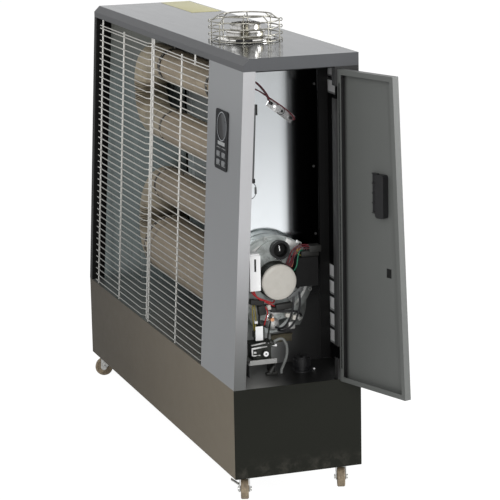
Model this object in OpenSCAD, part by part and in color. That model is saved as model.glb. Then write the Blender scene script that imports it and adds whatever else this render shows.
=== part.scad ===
// Free-standing infrared oil heater on castors, with its burner bay door open.
// X runs to the right seen from the front, the front faces -Y, Z is up and z = 0 is the floor.

/* [Cabinet] */
// Width of the cabinet
cab_w = 1320; // [1200:10:1500]
// Depth of the cabinet at its base
cab_d = 330; // [320:2:400]
// Height of the base box that holds the tank
base_h = 224; // [190:2:280]
// Height from the base to the underside of the top cover
upper_h = 769; // [745:1:900]
// How far the upper front leans back at its top
lean = 40; // [20:1:42]
// Thickness of the cabinet sheet
sheet_t = 1.5; // [1.2:0.1:2]
// Height of the top cover
lid_h = 31; // [26:1:45]
// Size of the top cover's front chamfer
lid_chamfer = 16; // [8:1:20]
// Width of the left front post
post_w = 24; // [18:1:30]
// Width of the right front panel
panel_w = 257; // [245:1:300]
// Width of the panel's strip on the cabinet's end
strip_w = 30; // [24:1:34]
// Width of the rear post that carries the door
rear_post_w = 60.5; // [56:0.5:66]

/* [Castors] */
// Height of a castor
caster_h = 62; // [60:0.5:70]
// Wheel diameter
wheel_d = 51; // [46:0.5:52]
// Wheel width
wheel_w = 20.6; // [16:0.2:23]
// Distance from the swivel axis to the wheel axle
trail = 22; // [18:0.5:26]
// Axle diameter
axle_d = 6; // [5:0.5:8]
// Radial running clearance of axles, pins and shafts
run_gap = 0.05; // [0.02:0.01:0.1]
// Distance of the swivel axes from the cabinet's ends
caster_x = 56; // [48:1:80]
// Distance of the front swivel axes from the base's front
caster_front = 42; // [38:1:60]
// Distance of the rear swivel axes from the base's back
caster_rear = 35; // [34:1:60]

/* [Side door] */
// Distance of the hinge axis from the cabinet's rear
hinge_in = 49; // [47:0.5:52]
// How far the hinge axis stands outside the cabinet's end
hinge_out = 2; // [1:0.5:4]
// Angle at which the door stands open
door_open = 109; // [0:1:140]
// Depth of the folded door
door_t = 18; // [12:1:24]
// Width of the door's inner lips
door_lip = 12; // [8:1:18]
// Gap around the closed door
door_gap = 2; // [1.5:0.5:4]
// Hinge knuckle diameter
knuckle_d = 9; // [8:0.5:10]
// Hinge pin diameter
hinge_pin_d = 5; // [4:0.5:6]
// Height of one hinge knuckle
knuckle_h = 28; // [20:1:40]

/* [Emitter] */
// Diameter of the upper emitter tubes
tube_d = 94; // [80:1:100]
// Diameter of the combustion chamber
chamber_d = 160; // [130:1:164]
// Wall thickness of the emitter tubes
tube_t = 1.5; // [1:0.1:2.5]
// Height between the top pass and the top cover
flue_room = 102; // [96:1:110]
// Height of the combustion chamber's axis above the base
chamber_z = 154; // [130:1:165]
// Place of the emitter plane in front of the cabinet's centre
emitter_y = -10; // [-14:1:-4]
// Pleats on the inner side of a bend
pleats = 9; // [5:1:12]
// Depth of the pleats
pleat_h = 7; // [3:0.5:9]
// Width of the joint beads on the tubes
bead_w = 8; // [5:1:12]
// Height of the joint beads
bead_h = 2.5; // [1.5:0.5:4]

/* [Guard] */
// Diameter of the horizontal guard wires
wire_d = 3; // [2.5:0.1:3.6]
// Diameter of the upright guard rods
rod_d = 5; // [3:0.5:6]
// Pitch of the horizontal guard wires
wire_pitch = 17.5; // [15:0.5:25]
// Height of the lowest wire above the base
wire_first = 9; // [6:1:30]
// Length of the turned-in wire ends
wire_return = 16; // [8:1:18]

/* [Flue] */
// Outside diameter of the flue collar
flue_d = 78; // [70:1:90]
// Bore of the flue collar
flue_bore = 74; // [66:1:86]
// Height of the plain flue collar
flue_collar_h = 14; // [14:1:40]
// Diameter of the flue flange
flue_flange_d = 141; // [120:1:150]
// Distance of the flue from the cabinet's right end
flue_x = 344; // [330:1:420]
// Diameter of the flue cage
cage_d = 170; // [160:1:200]

/* [Burner] */
// Diameter of the blower scroll
scroll_d = 208; // [190:1:212]
// Width of the blower scroll
scroll_w = 50; // [46:1:60]
// Height of the blower axis above the base
blower_z = 232; // [225:1:240]
// Diameter of the blower wheel
fan_d = 160; // [130:1:180]
// Diameter of the fan motor
motor_d = 92; // [80:1:92]
// Length of the fan motor
motor_l = 36; // [30:1:48]
// Diameter of the motor shaft
shaft_d = 8; // [6:0.5:12]
// Distance from the cabinet's right end to the bay partition
bay_w = 205; // [200:1:215]
// Distance of the heat shield's rear edge from the cabinet's rear
shield_in = 28; // [26:1:40]

/* [Controls] */
// Width of the control panel
ctrl_w = 93; // [80:1:110]
// Height of the control panel
ctrl_h = 145; // [138:1:180]
// Diameter of the round display
display_d = 63; // [50:1:70]
// Width of a key
key_w = 22; // [14:0.5:26]
// Height of a key
key_h = 11; // [8:0.5:12]
// Height from the control panel's centre to the top cover
ctrl_drop = 181; // [120:1:260]
// Travel of a key
key_travel = 1; // [0.5:0.1:1.5]

/* [Hidden] */
$fn = 48;
eps = 0.01;
seat = 0.3;
base_z = caster_h;
deck_z = base_z + base_h;
eave_z = deck_z + upper_h;
top_z = eave_z + lid_h;
hw = cab_w / 2;
hd = cab_d / 2;
lean_a = atan(lean / upper_h);
slope_h = upper_h / cos(lean_a);
ceil_z = eave_z - 6;
hinge_y = hd - hinge_in;
skin_rear = hd - sheet_t;

// Front surface of the upper cabinet at a height
function front_y(z) = -hd + lean * (z - deck_z) / upper_h;

// Places of the emitter passes, from the flue down to the chamber
pass_pitch = (upper_h - chamber_z - flue_room) / 3;
z4 = deck_z + chamber_z;
z3 = z4 + pass_pitch;
z2 = z3 + pass_pitch;
z1 = z2 + pass_pitch;
tube_r = tube_d / 2;
chamber_r = chamber_d / 2;
bend_r = pass_pitch / 2;
bay_x = hw - bay_w;
upper_bend_x = -411;
upper_joint_x = -270;
lower_bend_x = -334;
right_bend_x = bay_x - bend_r - tube_r - 4;
flue_px = hw - flue_x;
elbow_r = 80;

// Rounded rectangle with true arcs, centred
module round_rect(w, d, r) {
    square([w - 2 * r, d], center = true);
    square([w, d - 2 * r], center = true);
    for (x = [-1, 1], y = [-1, 1]) translate([x * (w / 2 - r), y * (d / 2 - r)]) circle(r);
}

// Stands a shape drawn upright in XZ on the leaning front, z counted up the slope
module on_front() {
    translate([0, -hd, deck_z]) rotate([-lean_a, 0, 0]) children();
}

// Extrudes a profile drawn as [y, z] along X, from x0 to x1
module along_x(x0, x1) {
    translate([x0, 0, 0]) rotate([90, 0, 90]) linear_extrude(x1 - x0) children();
}

// Disc or tube with its axis along X
module disc_x(x0, x1, r, y, z) {
    translate([x0, y, z]) rotate([0, 90, 0]) cylinder(h = x1 - x0, r = r);
}

// Tube swept along points, with flat ends
function unit(v) = v / norm(v);
function sweep_dir(p, i) = unit(p[min(i + 1, len(p) - 1)] - p[max(i - 1, 0)]);
function sweep_ref(d) = abs(d[0]) < 0.9 ? [1, 0, 0] : [0, 1, 0];
function sweep_ring(p, i, r, n) =
    let (d = sweep_dir(p, i), a = unit(cross(d, [0.31, 0.17, 0.93])), b = cross(d, a))
    [for (k = [0:n - 1]) p[i] + r * (cos(360 * k / n) * a + sin(360 * k / n) * b)];
module sweep(p, r, n) {
    rings = [for (i = [0:len(p) - 1]) each sweep_ring(p, i, r, n)];
    m = len(p);
    polyhedron(points = rings, faces = concat(
        [[for (k = [0:n - 1]) k]],
        [for (i = [0:m - 2], k = [0:n - 1])
            each [[i * n + k, (i + 1) * n + k, (i + 1) * n + (k + 1) % n],
                  [i * n + k, (i + 1) * n + (k + 1) % n, i * n + (k + 1) % n]]],
        [[for (k = [n - 1:-1:0]) (m - 1) * n + k]]));
}

// Smooth curve through hand-set points
function curve_point(p, i, t) =
    let (a = p[max(i - 1, 0)], b = p[i], c = p[i + 1], d = p[min(i + 2, len(p) - 1)])
    0.5 * (2 * b + (c - a) * t + (2 * a - 5 * b + 4 * c - d) * t * t
        + (3 * b - a - 3 * c + d) * t * t * t);
function curve(p, n) = concat(
    [for (i = [0:len(p) - 2], k = [0:n - 1]) curve_point(p, i, k / n)], [p[len(p) - 1]]);

// Base

module base_skirt() {
    gusset = 96;
    flange = 15;
    color("#3a3936") translate([0, 0, base_z]) difference() {
        linear_extrude(base_h) round_rect(cab_w, cab_d, 2.5);
        translate([0, 0, sheet_t]) linear_extrude(base_h - 3 * sheet_t - 0.5)
            round_rect(cab_w - 2 * sheet_t, cab_d - 2 * sheet_t, 1.5);
        translate([0, 0, base_h - sheet_t - 0.5]) linear_extrude(sheet_t + 1)
            round_rect(cab_w - 2 * sheet_t, cab_d - 2 * sheet_t, 1.5);
        translate([0, 0, base_h - 10]) linear_extrude(20)
            square([cab_w - 2 * flange, cab_d - 2 * flange], center = true);
        translate([0, 0, -eps]) linear_extrude(3 * sheet_t) {
            square([cab_w - 2 * gusset, cab_d - 2 * flange], center = true);
            square([cab_w - 2 * flange, cab_d - 2 * gusset], center = true);
        }
    }
}

module base_pan() {
    sump_x = 14;
    sump_w = 110;
    sump_y = -hd + 45;
    sump_d = 50;
    drop = 10;
    color("#33322f") difference() {
        union() {
            translate([0, 0, base_z + sheet_t]) linear_extrude(sheet_t)
                square([cab_w - 2 * sheet_t - 2 * seat, cab_d - 2 * sheet_t - 2 * seat], center = true);
            translate([sump_x, sump_y, base_z - drop]) linear_extrude(drop + sheet_t)
                round_rect(sump_w, sump_d, 8);
        }
        translate([sump_x, sump_y, base_z - drop + sheet_t]) linear_extrude(drop + 2 * sheet_t)
            round_rect(sump_w - 2 * sheet_t, sump_d - 2 * sheet_t, 8 - sheet_t);
    }
}

tank_inset = 26;
tank_z = base_z + 2 * sheet_t;
tank_h = base_h - 46;
neck_x = hw - 115;
neck_y = 53;
neck_r = 17;
hose_x = hw - 110;
hose_y = -3;
module fuel_tank() {
    wall = 1.5;
    color("#55554f") difference() {
        translate([0, 0, tank_z]) linear_extrude(tank_h)
            round_rect(cab_w - 2 * tank_inset, cab_d - 2 * tank_inset, 18);
        translate([0, 0, tank_z + wall]) linear_extrude(tank_h - 2 * wall)
            round_rect(cab_w - 2 * tank_inset - 2 * wall, cab_d - 2 * tank_inset - 2 * wall, 18 - wall);
        translate([neck_x, neck_y, tank_z + tank_h - 5]) cylinder(h = 10, r = neck_r - 2);
        translate([hose_x, hose_y, tank_z + tank_h - 5]) cylinder(h = 10, r = 4.5);
    }
}

module deck_plate() {
    color("#2c2c2a") translate([0, 0, deck_z - sheet_t]) difference() {
        linear_extrude(sheet_t)
            square([cab_w - 2 * sheet_t - 2 * seat, cab_d - 2 * sheet_t - 2 * seat], center = true);
        translate([neck_x, neck_y, -1]) cylinder(h = 5, r = neck_r + seat);
        translate([hose_x, hose_y, -1]) cylinder(h = 5, r = 4.5);
    }
}

cap_d = 44;
cap_h = 24;
cap_z = deck_z + 12;
module filler_neck() {
    z0 = tank_z + tank_h;
    color("#2a2a2a") translate([neck_x, neck_y, 0]) difference() {
        union() {
            translate([0, 0, z0]) cylinder(h = cap_z + 14 - z0, r = neck_r);
            translate([0, 0, deck_z]) cylinder(h = 3, r = neck_r + 9);
        }
        translate([0, 0, z0 - 1]) cylinder(h = cap_z + 20 - z0, r = neck_r - 2);
    }
}

module fuel_cap() {
    ribs = 24;
    color("#171717") translate([neck_x, neck_y, cap_z]) difference() {
        union() {
            cylinder(h = cap_h - 3, r = cap_d / 2 - 1.2);
            translate([0, 0, cap_h - 3]) cylinder(h = 3, r = cap_d / 2 - 4);
            for (i = [0:ribs - 1]) rotate([0, 0, i * 360 / ribs])
                translate([cap_d / 2 - 2.2, -1.2, 0]) cube([2.2, 2.4, cap_h - 4]);
            translate([-cap_d / 2 + 5, -2.5, cap_h - 1]) cube([cap_d - 10, 5, 4]);
        }
        translate([0, 0, -1]) cylinder(h = cap_h - 5, r = neck_r + run_gap);
    }
}

// Cabinet

// Upright sheet of the leaning front, from y0 to y1 behind its surface
module slant_band(x0, x1, y0, y1) {
    along_x(x0, x1) polygon([[-hd + y0, deck_z], [-hd + y1, deck_z],
        [-hd + lean + y1, eave_z], [-hd + lean + y0, eave_z]]);
}

module left_end_panel() {
    lip = 15;
    color("#6b6b69") {
        along_x(-hw, -hw + sheet_t)
            polygon([[-hd, deck_z], [hd, deck_z], [hd, eave_z], [-hd + lean, eave_z]]);
        slant_band(-hw, -hw + post_w, 0, sheet_t);
        slant_band(-hw + post_w - sheet_t, -hw + post_w, 0, 22);
        translate([-hw, skin_rear - sheet_t, deck_z]) cube([lip, sheet_t, upper_h]);
        translate([-hw, -60, ceil_z - sheet_t]) cube([lip, 200, sheet_t]);
    }
}

// Pressed hood over an air slot of the rear panel
module louvre(w, h) {
    hood = 7;
    rotate([90, 0, 90]) linear_extrude(w)
        polygon([[0, -2], [0, 0], [hood - 1.2, h - 6], [hood - 1.2, h - 2], [hood, h - 2], [hood, h - 7]]);
}

slot_x = hw - 232;
slot_w = 78;
slot_h = 38.5;
slot_pitch = 42;
slots_low = deck_z + 41;
slots_high = eave_z - 92;
module rear_panel() {
    zs = concat([for (i = [0:4]) slots_low + i * slot_pitch], [for (i = [0:1]) slots_high + i * slot_pitch]);
    color("#5c5c5a") difference() {
        translate([-hw + sheet_t + seat, skin_rear, deck_z])
            cube([cab_w - 2 * sheet_t - 2 * seat, sheet_t, upper_h]);
        for (z = zs) translate([slot_x, skin_rear - 1, z]) cube([slot_w, 10, slot_h]);
        translate([hw - 40, skin_rear - 1, deck_z + 22]) rotate([-90, 0, 0]) cylinder(h = 10, r = 8.5);
    }
    color("#5c5c5a") for (z = zs) translate([slot_x, hd - eps, z]) louvre(slot_w, slot_h);
}

module cable_gland() {
    color("#151515") translate([hw - 40, 0, deck_z + 22]) {
        difference() {
            union() {
                translate([0, hd, 0]) rotate([-90, 0, 0]) cylinder(h = 5, r = 12, $fn = 6);
                translate([0, hd + 5, 0]) rotate([-90, 0, 0]) cylinder(h = 8, r = 9.5);
                translate([0, skin_rear - 14, 0]) rotate([-90, 0, 0]) cylinder(h = 20, r = 8);
                translate([0, skin_rear - 5, 0]) rotate([-90, 0, 0]) cylinder(h = 5, r = 12, $fn = 6);
            }
            translate([0, skin_rear - 20, 0]) rotate([-90, 0, 0]) cylinder(h = 50, r = 4.5);
        }
    }
}

ctrl_x = hw - 142;
ctrl_z = slope_h - ctrl_drop;
module front_panel() {
    x0 = hw - panel_w;
    ret = 22;
    color("#8e8f91") difference() {
        union() {
            slant_band(x0, hw, 0, sheet_t);
            slant_band(x0, x0 + sheet_t, 0, ret);
            slant_band(hw - sheet_t, hw, 0, strip_w);
            slant_band(hw - ret, hw, strip_w - sheet_t, strip_w);
        }
        on_front() translate([ctrl_x, -5, ctrl_z]) rotate([-90, 0, 0]) linear_extrude(15)
            round_rect(ctrl_w - 6, ctrl_h - 6, 6);
    }
}

hinge_x = hw + hinge_out;
knuckle_r = knuckle_d / 2;
post_edge = hd - rear_post_w;
hinge_zs = [deck_z + 52, eave_z - 78];
module hinge_post() {
    ret = 22;
    notch = knuckle_h + 3;
    color("#4c4c4a") difference() {
        union() {
            translate([0, 0, deck_z]) linear_extrude(upper_h) {
                translate([hw - sheet_t, post_edge]) square([sheet_t, rear_post_w]);
                translate([hw - ret, post_edge]) square([ret, sheet_t]);
                translate([hw - ret, skin_rear - sheet_t]) square([ret, sheet_t]);
            }
            for (z = hinge_zs) translate([hinge_x, hinge_y, z - knuckle_h]) {
                cylinder(h = knuckle_h, r = knuckle_r);
                cylinder(h = 2 * knuckle_h + 2, r = hinge_pin_d / 2);
            }
        }
        for (z = hinge_zs) difference() {
            translate([hw - ret - 1, post_edge - 1, z + eps])
                cube([ret + 2, hinge_y + knuckle_r + 1.5 - post_edge, notch]);
            translate([hinge_x, hinge_y, z]) cylinder(h = notch + 1, r = hinge_pin_d / 2);
        }
        translate([hw - 40, skin_rear - 8, deck_z + 22]) rotate([-90, 0, 0]) cylinder(h = 10, r = 14);
    }
}

module lid_profile(g) {
    polygon([[-hd + lean + g, eave_z - g * 20], [-hd + lean + g, top_z - lid_chamfer - g * 0.41],
        [-hd + lean + lid_chamfer + g * 0.41, top_z - g], [hd - g, top_z - g], [hd - g, eave_z - g * 20]]);
}

module top_cover() {
    color("#6f7073") difference() {
        along_x(-hw, hw) lid_profile(0);
        along_x(-hw + sheet_t, hw - sheet_t) lid_profile(sheet_t);
        translate([flue_px, 0, top_z - 5]) cylinder(h = 10, r = flue_bore / 2 + 1);
    }
}

module ceiling_plate() {
    x0 = -hw + sheet_t + seat;
    x1 = hw - door_t - 8;
    y0 = front_y(ceil_z) + 25;
    y1 = skin_rear - sheet_t - seat;
    color("#3b3b39") difference() {
        translate([x0, y0, ceil_z]) cube([x1 - x0, y1 - y0, sheet_t]);
        translate([flue_px, 0, ceil_z - 1]) cylinder(h = 5, r = flue_bore / 2 + 1);
    }
}

burner_hole = 56;
module bay_partition() {
    gap = strip_w + 1;
    back = skin_rear - seat;
    color("#454543") difference() {
        along_x(bay_x, bay_x + sheet_t) polygon([[-hd + gap, deck_z], [back, deck_z],
            [back, ceil_z], [-hd + gap + lean * (ceil_z - deck_z) / upper_h, ceil_z]]);
        disc_x(bay_x - 1, bay_x + 5, burner_hole, emitter_y, z4);
    }
}

// Bright sheet laid on the partition, hemmed out along its rear edge
liner_x = bay_x + sheet_t;
burner_x = liner_x + sheet_t;
module heat_shield() {
    hem = 3;
    front = -hd + strip_w + 6;
    back = hd - shield_in;
    z0 = deck_z + seat;
    z1 = ceil_z - 3;
    color("#d9dcde") difference() {
        union() {
            along_x(liner_x, burner_x) polygon([[front, z0], [back, z0], [back, z1],
                [front + lean * (z1 - deck_z) / upper_h, z1]]);
            translate([liner_x, back - sheet_t, z0]) cube([hem, sheet_t, z1 - z0]);
        }
        disc_x(liner_x - 1, liner_x + 5, burner_hole, emitter_y, z4);
    }
}

reflector_y = emitter_y + 100;
module reflectors() {
    gap = 20;
    corner_x = -476;
    color("#7d8583") {
        translate([corner_x, reflector_y, deck_z]) cube([bay_x - corner_x, sheet_t, ceil_z - deck_z]);
        difference() {
            translate([0, 0, deck_z]) linear_extrude(ceil_z - deck_z)
                polygon([[-hw + 4, -hd + 12], [-hw + 5.8, -hd + 12],
                    [corner_x - gap + 1.8, reflector_y], [corner_x - gap, reflector_y]]);
            on_front() translate([-hw - 10, -50, -50]) cube([200, 50 + 38, slope_h + 100]);
        }
    }
}

// Emitter

module tube_x(x0, x1, r, z) {
    difference() {
        disc_x(x0, x1, r, emitter_y, z);
        disc_x(x0 - 1, x1 + 1, r - tube_t, emitter_y, z);
    }
}

module bead(x, r, z) {
    translate([x - bead_w / 2, emitter_y, z]) rotate([0, 90, 0]) rotate_extrude()
        polygon([[r - tube_t / 2, 0], [r, 0], [r + bead_h, bead_w * 0.3],
            [r + bead_h, bead_w * 0.7], [r, bead_w], [r - tube_t / 2, bead_w]]);
}

elbow_x = flue_px - elbow_r;
module combustion_chamber() {
    color("#8f8371") {
        difference() {
            disc_x(lower_bend_x, bay_x, chamber_r, emitter_y, z4);
            disc_x(lower_bend_x - 1, bay_x - 2, chamber_r - tube_t, emitter_y, z4);
            disc_x(bay_x - 5, bay_x + 1, 56, emitter_y, z4);
        }
        bead(lower_bend_x + bead_w / 2, chamber_r, z4);
    }
}

module emitter_tubes() {
    runs = [[upper_joint_x, elbow_x, z1], [upper_joint_x, right_bend_x, z2],
        [lower_bend_x, right_bend_x, z3]];
    color("#998c79") for (t = runs) {
        tube_x(t[0], t[1], tube_r, t[2]);
        bead(t[0] + bead_w / 2, tube_r, t[2]);
        bead(t[1] - bead_w / 2, tube_r, t[2]);
    }
}

// Ring of a pleated bend: a is its angle round the bend, ax its shift along X, s the pleat's depth
function bend_ring(cx, cz, a, ax, r, s, n) = [for (k = [0:n - 1])
    let (f = 360 * (k + 0.5) / n, q = r - s * pow(max(0, -cos(f)), 1.4),
         u = bend_r + q * cos(f))
    [cx + ax + u * cos(a), emitter_y + q * sin(f), cz + u * sin(a)]];
function bend_rings(cx, cz, r0, r1, leg, wall, m, n) = concat(
    leg > 0 ? bend_ring(cx, cz, 90, leg, r0 - wall, 0, n) : [],
    [for (i = [0:m]) each bend_ring(cx, cz, 90 + 180 * i / m, 0, r0 + (r1 - r0) * i / m - wall,
        pleat_h * (0.5 - 0.5 * cos(360 * pleats * i / m)), n)],
    leg > 0 ? bend_ring(cx, cz, 270, leg, r1 - wall, 0, n) : []);
module pleated_bend(cx, cz, r0, r1, leg) {
    n = 16;
    m = pleats * 4;
    rows = m + 1 + (leg > 0 ? 2 : 0);
    outer = bend_rings(cx, cz, r0, r1, leg, 0, m, n);
    inner = bend_rings(cx, cz, r0, r1, leg, tube_t, m, n);
    b = len(outer);
    polyhedron(points = concat(outer, inner), faces = concat(
        [for (i = [0:rows - 2], k = [0:n - 1]) let (j = (k + n - 1) % n)
            each [[i * n + k, i * n + j, (i + 1) * n + j], [i * n + k, (i + 1) * n + j, (i + 1) * n + k]]],
        [for (i = [0:rows - 2], k = [0:n - 1]) let (j = (k + n - 1) % n)
            each [[b + i * n + k, b + (i + 1) * n + j, b + i * n + j],
                  [b + i * n + k, b + (i + 1) * n + k, b + (i + 1) * n + j]]],
        [for (k = [0:n - 1]) let (j = (k + n - 1) % n) each [[k, b + k, b + j], [k, b + j, j]]],
        [for (k = [0:n - 1]) let (j = (k + n - 1) % n, e = (rows - 1) * n)
            each [[e + k, e + j, b + e + j], [e + k, b + e + j, b + e + k]]]));
}

module emitter_bends() {
    color("#93866f") {
        pleated_bend(upper_bend_x, (z1 + z2) / 2, tube_r, tube_r, upper_joint_x - upper_bend_x);
        pleated_bend(lower_bend_x, (z3 + z4) / 2, tube_r, chamber_r, 0);
        translate([right_bend_x, emitter_y, (z2 + z3) / 2]) rotate([90, 0, 0]) rotate([0, 0, -90])
            rotate_extrude(angle = 180) translate([bend_r, 0]) difference() {
                circle(tube_r);
                circle(tube_r - tube_t);
            }
    }
}

module flue_elbow() {
    r = flue_bore / 2 - 0.6;
    top = z1 + elbow_r;
    color("#8b7f6d") {
        translate([elbow_x, emitter_y, z1 + elbow_r]) rotate([90, 0, 0]) rotate([0, 0, -90])
            rotate_extrude(angle = 90) translate([elbow_r, 0]) difference() {
                circle(tube_r);
                circle(tube_r - tube_t);
            }
        translate([flue_px, emitter_y, top]) difference() {
            cylinder(h = 2, r = tube_r);
            translate([0, -emitter_y, -1]) cylinder(h = 5, r = r - tube_t);
        }
        translate([flue_px, 0, top]) difference() {
            cylinder(h = top_z + 12 - top, r = r);
            translate([0, 0, -1]) cylinder(h = 200, r = r - tube_t);
        }
    }
}

hanger_w = 14;
module tube_hangers() {
    strap_y = emitter_y + chamber_r + seat;
    color("#b9b7b0") {
        for (x = [-256, 158]) {
            difference() {
                disc_x(x, x + hanger_w, tube_r + seat + 2, emitter_y, z1);
                disc_x(x - 1, x + hanger_w + 1, tube_r + seat, emitter_y, z1);
            }
            translate([x, emitter_y - 1, z1 + tube_r + 1]) cube([hanger_w, 2, ceil_z - z1 - tube_r - 1]);
        }
        for (x = [-220, 200]) {
            translate([x, strap_y, deck_z]) cube([hanger_w, 3, ceil_z - deck_z]);
            for (z = [z2, z3]) {
                difference() {
                    disc_x(x, x + hanger_w, tube_r + seat + 2, emitter_y, z);
                    disc_x(x - 1, x + hanger_w + 1, tube_r + seat, emitter_y, z);
                    translate([x - 1, emitter_y - 80, z - 60]) cube([hanger_w + 2, 80, 120]);
                }
                translate([x, emitter_y + tube_r + 1, z - 1.5])
                    cube([hanger_w, strap_y - emitter_y - tube_r, 3]);
            }
        }
    }
}

// Flue collar and its cage

collar_z = top_z + 30;
module flue_spigot() {
    b = flue_bore / 2;
    f = flue_flange_d / 2;
    r = flue_d / 2;
    z1 = collar_z - top_z;
    color("#c9c6bf") translate([flue_px, 0, top_z]) rotate_extrude()
        polygon([[b, 0], [f, 0], [f, 6], [f - 4, 8.5], [f - 20, 9], [r + 9, 13], [r + 9, 15], [r + 11, 16],
            [r + 11, 25], [r + 8, 27], [r + 1, 27], [r - 0.6, z1 - 1.5], [r - 0.6, z1], [r, z1],
            [r, z1 + flue_collar_h], [b, z1 + flue_collar_h]]);
}

module torus(r, w) {
    rotate_extrude() translate([r, 0]) circle(w / 2);
}

cage_zs = [3, 18, 35, 51, 64];
module flue_guard() {
    w = 3.4;
    leg = 2.8;
    r = cage_d / 2;
    r_top = r - 18;
    legs = 8;
    color("#c4c3bf") translate([flue_px, 0, top_z]) {
        for (i = [0:4]) translate([0, 0, cage_zs[i]]) torus(i == 4 ? r_top : r, w);
        for (i = [0:legs - 1]) rotate([0, 0, 22.5 + i * 360 / legs]) {
            translate([r, 0, 0]) cylinder(h = cage_zs[3], r = leg / 2);
            translate([r, 0, cage_zs[3]]) rotate([0, -atan(18 / (cage_zs[4] - cage_zs[3])), 0])
                cylinder(h = norm([18, cage_zs[4] - cage_zs[3]]), r = leg / 2);
        }
    }
}

// Front guard, drawn upright and laid on the leaning front

wire_n = floor((slope_h - wire_first - 8) / wire_pitch);
guard_split = -100;
bend_in = 40;
function wire_z(i) = i < wire_n ? wire_first + i * wire_pitch : wire_first + (wire_n - 1) * wire_pitch + 8;
wire_y = wire_d / 2 + 0.5;
end_y = wire_y + wire_return * sin(bend_in);
module guard_wire(x0, x1, z) {
    r = wire_d / 2;
    bend_x = x1 - wire_return * cos(bend_in);
    translate([x0, wire_y, z]) rotate([0, 90, 0]) cylinder(h = bend_x - x0, r = r);
    translate([bend_x, wire_y, z]) rotate([0, 0, bend_in]) rotate([0, 90, 0])
        cylinder(h = wire_return, r = r);
}

module guard_rod(x, y, top) {
    z0 = (y + rod_d / 2) * tan(lean_a) + seat;
    translate([x, y, z0]) cylinder(h = top - z0, r = rod_d / 2);
}

mid_y = wire_y + (wire_d + rod_d) / 2 - 0.4;
rod_top = wire_z(wire_n) + 5;
rod_hook = slope_h + lid_h / 3;
module guard_left() {
    color("#c9c7c0") on_front() {
        for (i = [0:wire_n]) guard_wire(-hw + 62, guard_split - 17, wire_z(i));
        guard_rod(-hw + 78, mid_y, rod_hook);
        guard_rod(-hw + 295, mid_y, rod_top);
        guard_rod(guard_split - 17, end_y, rod_hook);
    }
}

module guard_right() {
    x1 = hw - panel_w - seat - rod_d / 2;
    color("#c9c7c0") on_front() {
        for (i = [0:wire_n]) guard_wire(guard_split + 18, x1, wire_z(i));
        guard_rod(hw - 493, mid_y, rod_top);
        translate([hw - 383, mid_y, wire_z(wire_n - 1) - 3])
            cylinder(h = rod_hook - wire_z(wire_n - 1) + 3, r = rod_d / 2);
        guard_rod(guard_split + 21, mid_y, rod_hook);
        guard_rod(x1, end_y, rod_hook);
    }
}

// Burner

bz = deck_z + blower_z;
by = emitter_y + 3;
scroll_x = bay_x + sheet_t + 4.5;
cover_x = scroll_x + scroll_w;
motor_x = cover_x + 4;
cap_x = motor_x + motor_l;
intake_y = by + 12.5;
intake_z = bz + 75;
module burner_head() {
    x = bay_x + sheet_t;
    color("#9a9c9e") {
        difference() {
            union() {
                disc_x(burner_x, x + 4, 108, emitter_y, z4);
                disc_x(x - 60, x + 2, 50, emitter_y, z4);
            }
            disc_x(x - 70, x + 10, 47, emitter_y, z4);
            translate([x - 5, emitter_y - 120, z4 - 180]) cube([20, 240, 120]);
        }
        difference() {
            disc_x(x + 3, x + 46, 62, emitter_y, z4);
            disc_x(x + 7, x + 60, 50, emitter_y, z4);
            disc_x(scroll_x - 1, cover_x + 1, scroll_d / 2 + seat, by, bz);
        }
        disc_x(x + 2, cover_x - 9, 14, emitter_y, z4 - 30);
        for (a = [115, 250]) translate([x + 3, emitter_y, z4]) rotate([a, 0, 0]) translate([0, 0, 98])
            rotate([0, 90, 0]) cylinder(h = 5, r = 5, $fn = 6);
    }
}

module blower_scroll() {
    r = scroll_d / 2;
    wall = 3;
    color("#a3a5a6") {
        difference() {
            union() {
                disc_x(scroll_x, cover_x, r, by, bz);
                disc_x(cover_x - 8, cover_x - 4, r + 4, by, bz);
                disc_x(cover_x - 1, motor_x, 76, by + 14, bz + 24);
            }
            disc_x(scroll_x + wall, cover_x - wall, r - wall, by, bz);
            disc_x(cover_x - 10, motor_x + 10, shaft_d / 2 + 1, by, bz);
            disc_x(cover_x - 10, motor_x + 10, 16, intake_y, intake_z);
            disc_x(scroll_x - 40, cover_x - 8.5, 60, emitter_y, z4 - 34);
        }
        for (a = [10:60:340]) translate([cover_x - 4.5, by, bz]) rotate([a, 0, 0])
            translate([0, 0, r - 1.5]) rotate([0, 90, 0]) cylinder(h = 7, r = 3.5, $fn = 6);
    }
}

module blower_wheel() {
    r = fan_d / 2;
    x0 = scroll_x + 10;
    x1 = cover_x - 10;
    blades = 24;
    color("#7f8284") {
        disc_x(x1 - 2, x1, r, by, bz);
        disc_x(x0 + 4, motor_x + 24, shaft_d / 2, by, bz);
        disc_x(x1 - 20, x1, 14, by, bz);
        difference() {
            disc_x(x0, x0 + 2, r, by, bz);
            disc_x(x0 - 1, x0 + 3, r - 14, by, bz);
        }
        for (i = [0:blades - 1]) translate([x0 + 1, by, bz]) rotate([i * 360 / blades, 0, 0])
            translate([0, 0, r - 13]) rotate([28, 0, 0]) cube([x1 - x0 - 2, 1.2, 12.4]);
    }
}

module fan_motor() {
    r = motor_d / 2;
    color("#2b2c2d") difference() {
        union() {
            disc_x(motor_x, cap_x, r - 3, by, bz);
            disc_x(motor_x, motor_x + 5, r, by, bz);
            disc_x(cap_x - 6, cap_x, r, by, bz);
            for (a = [0:30:330]) translate([motor_x, by, bz]) rotate([a, 0, 0])
                translate([0, -1.2, r - 4]) cube([motor_l, 2.4, 3.2]);
        }
        disc_x(motor_x - 1, motor_x + 24, shaft_d / 2 + run_gap, by, bz);
        disc_x(motor_x + 23.9, motor_x + 28, 9, by, bz);
    }
}

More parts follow.
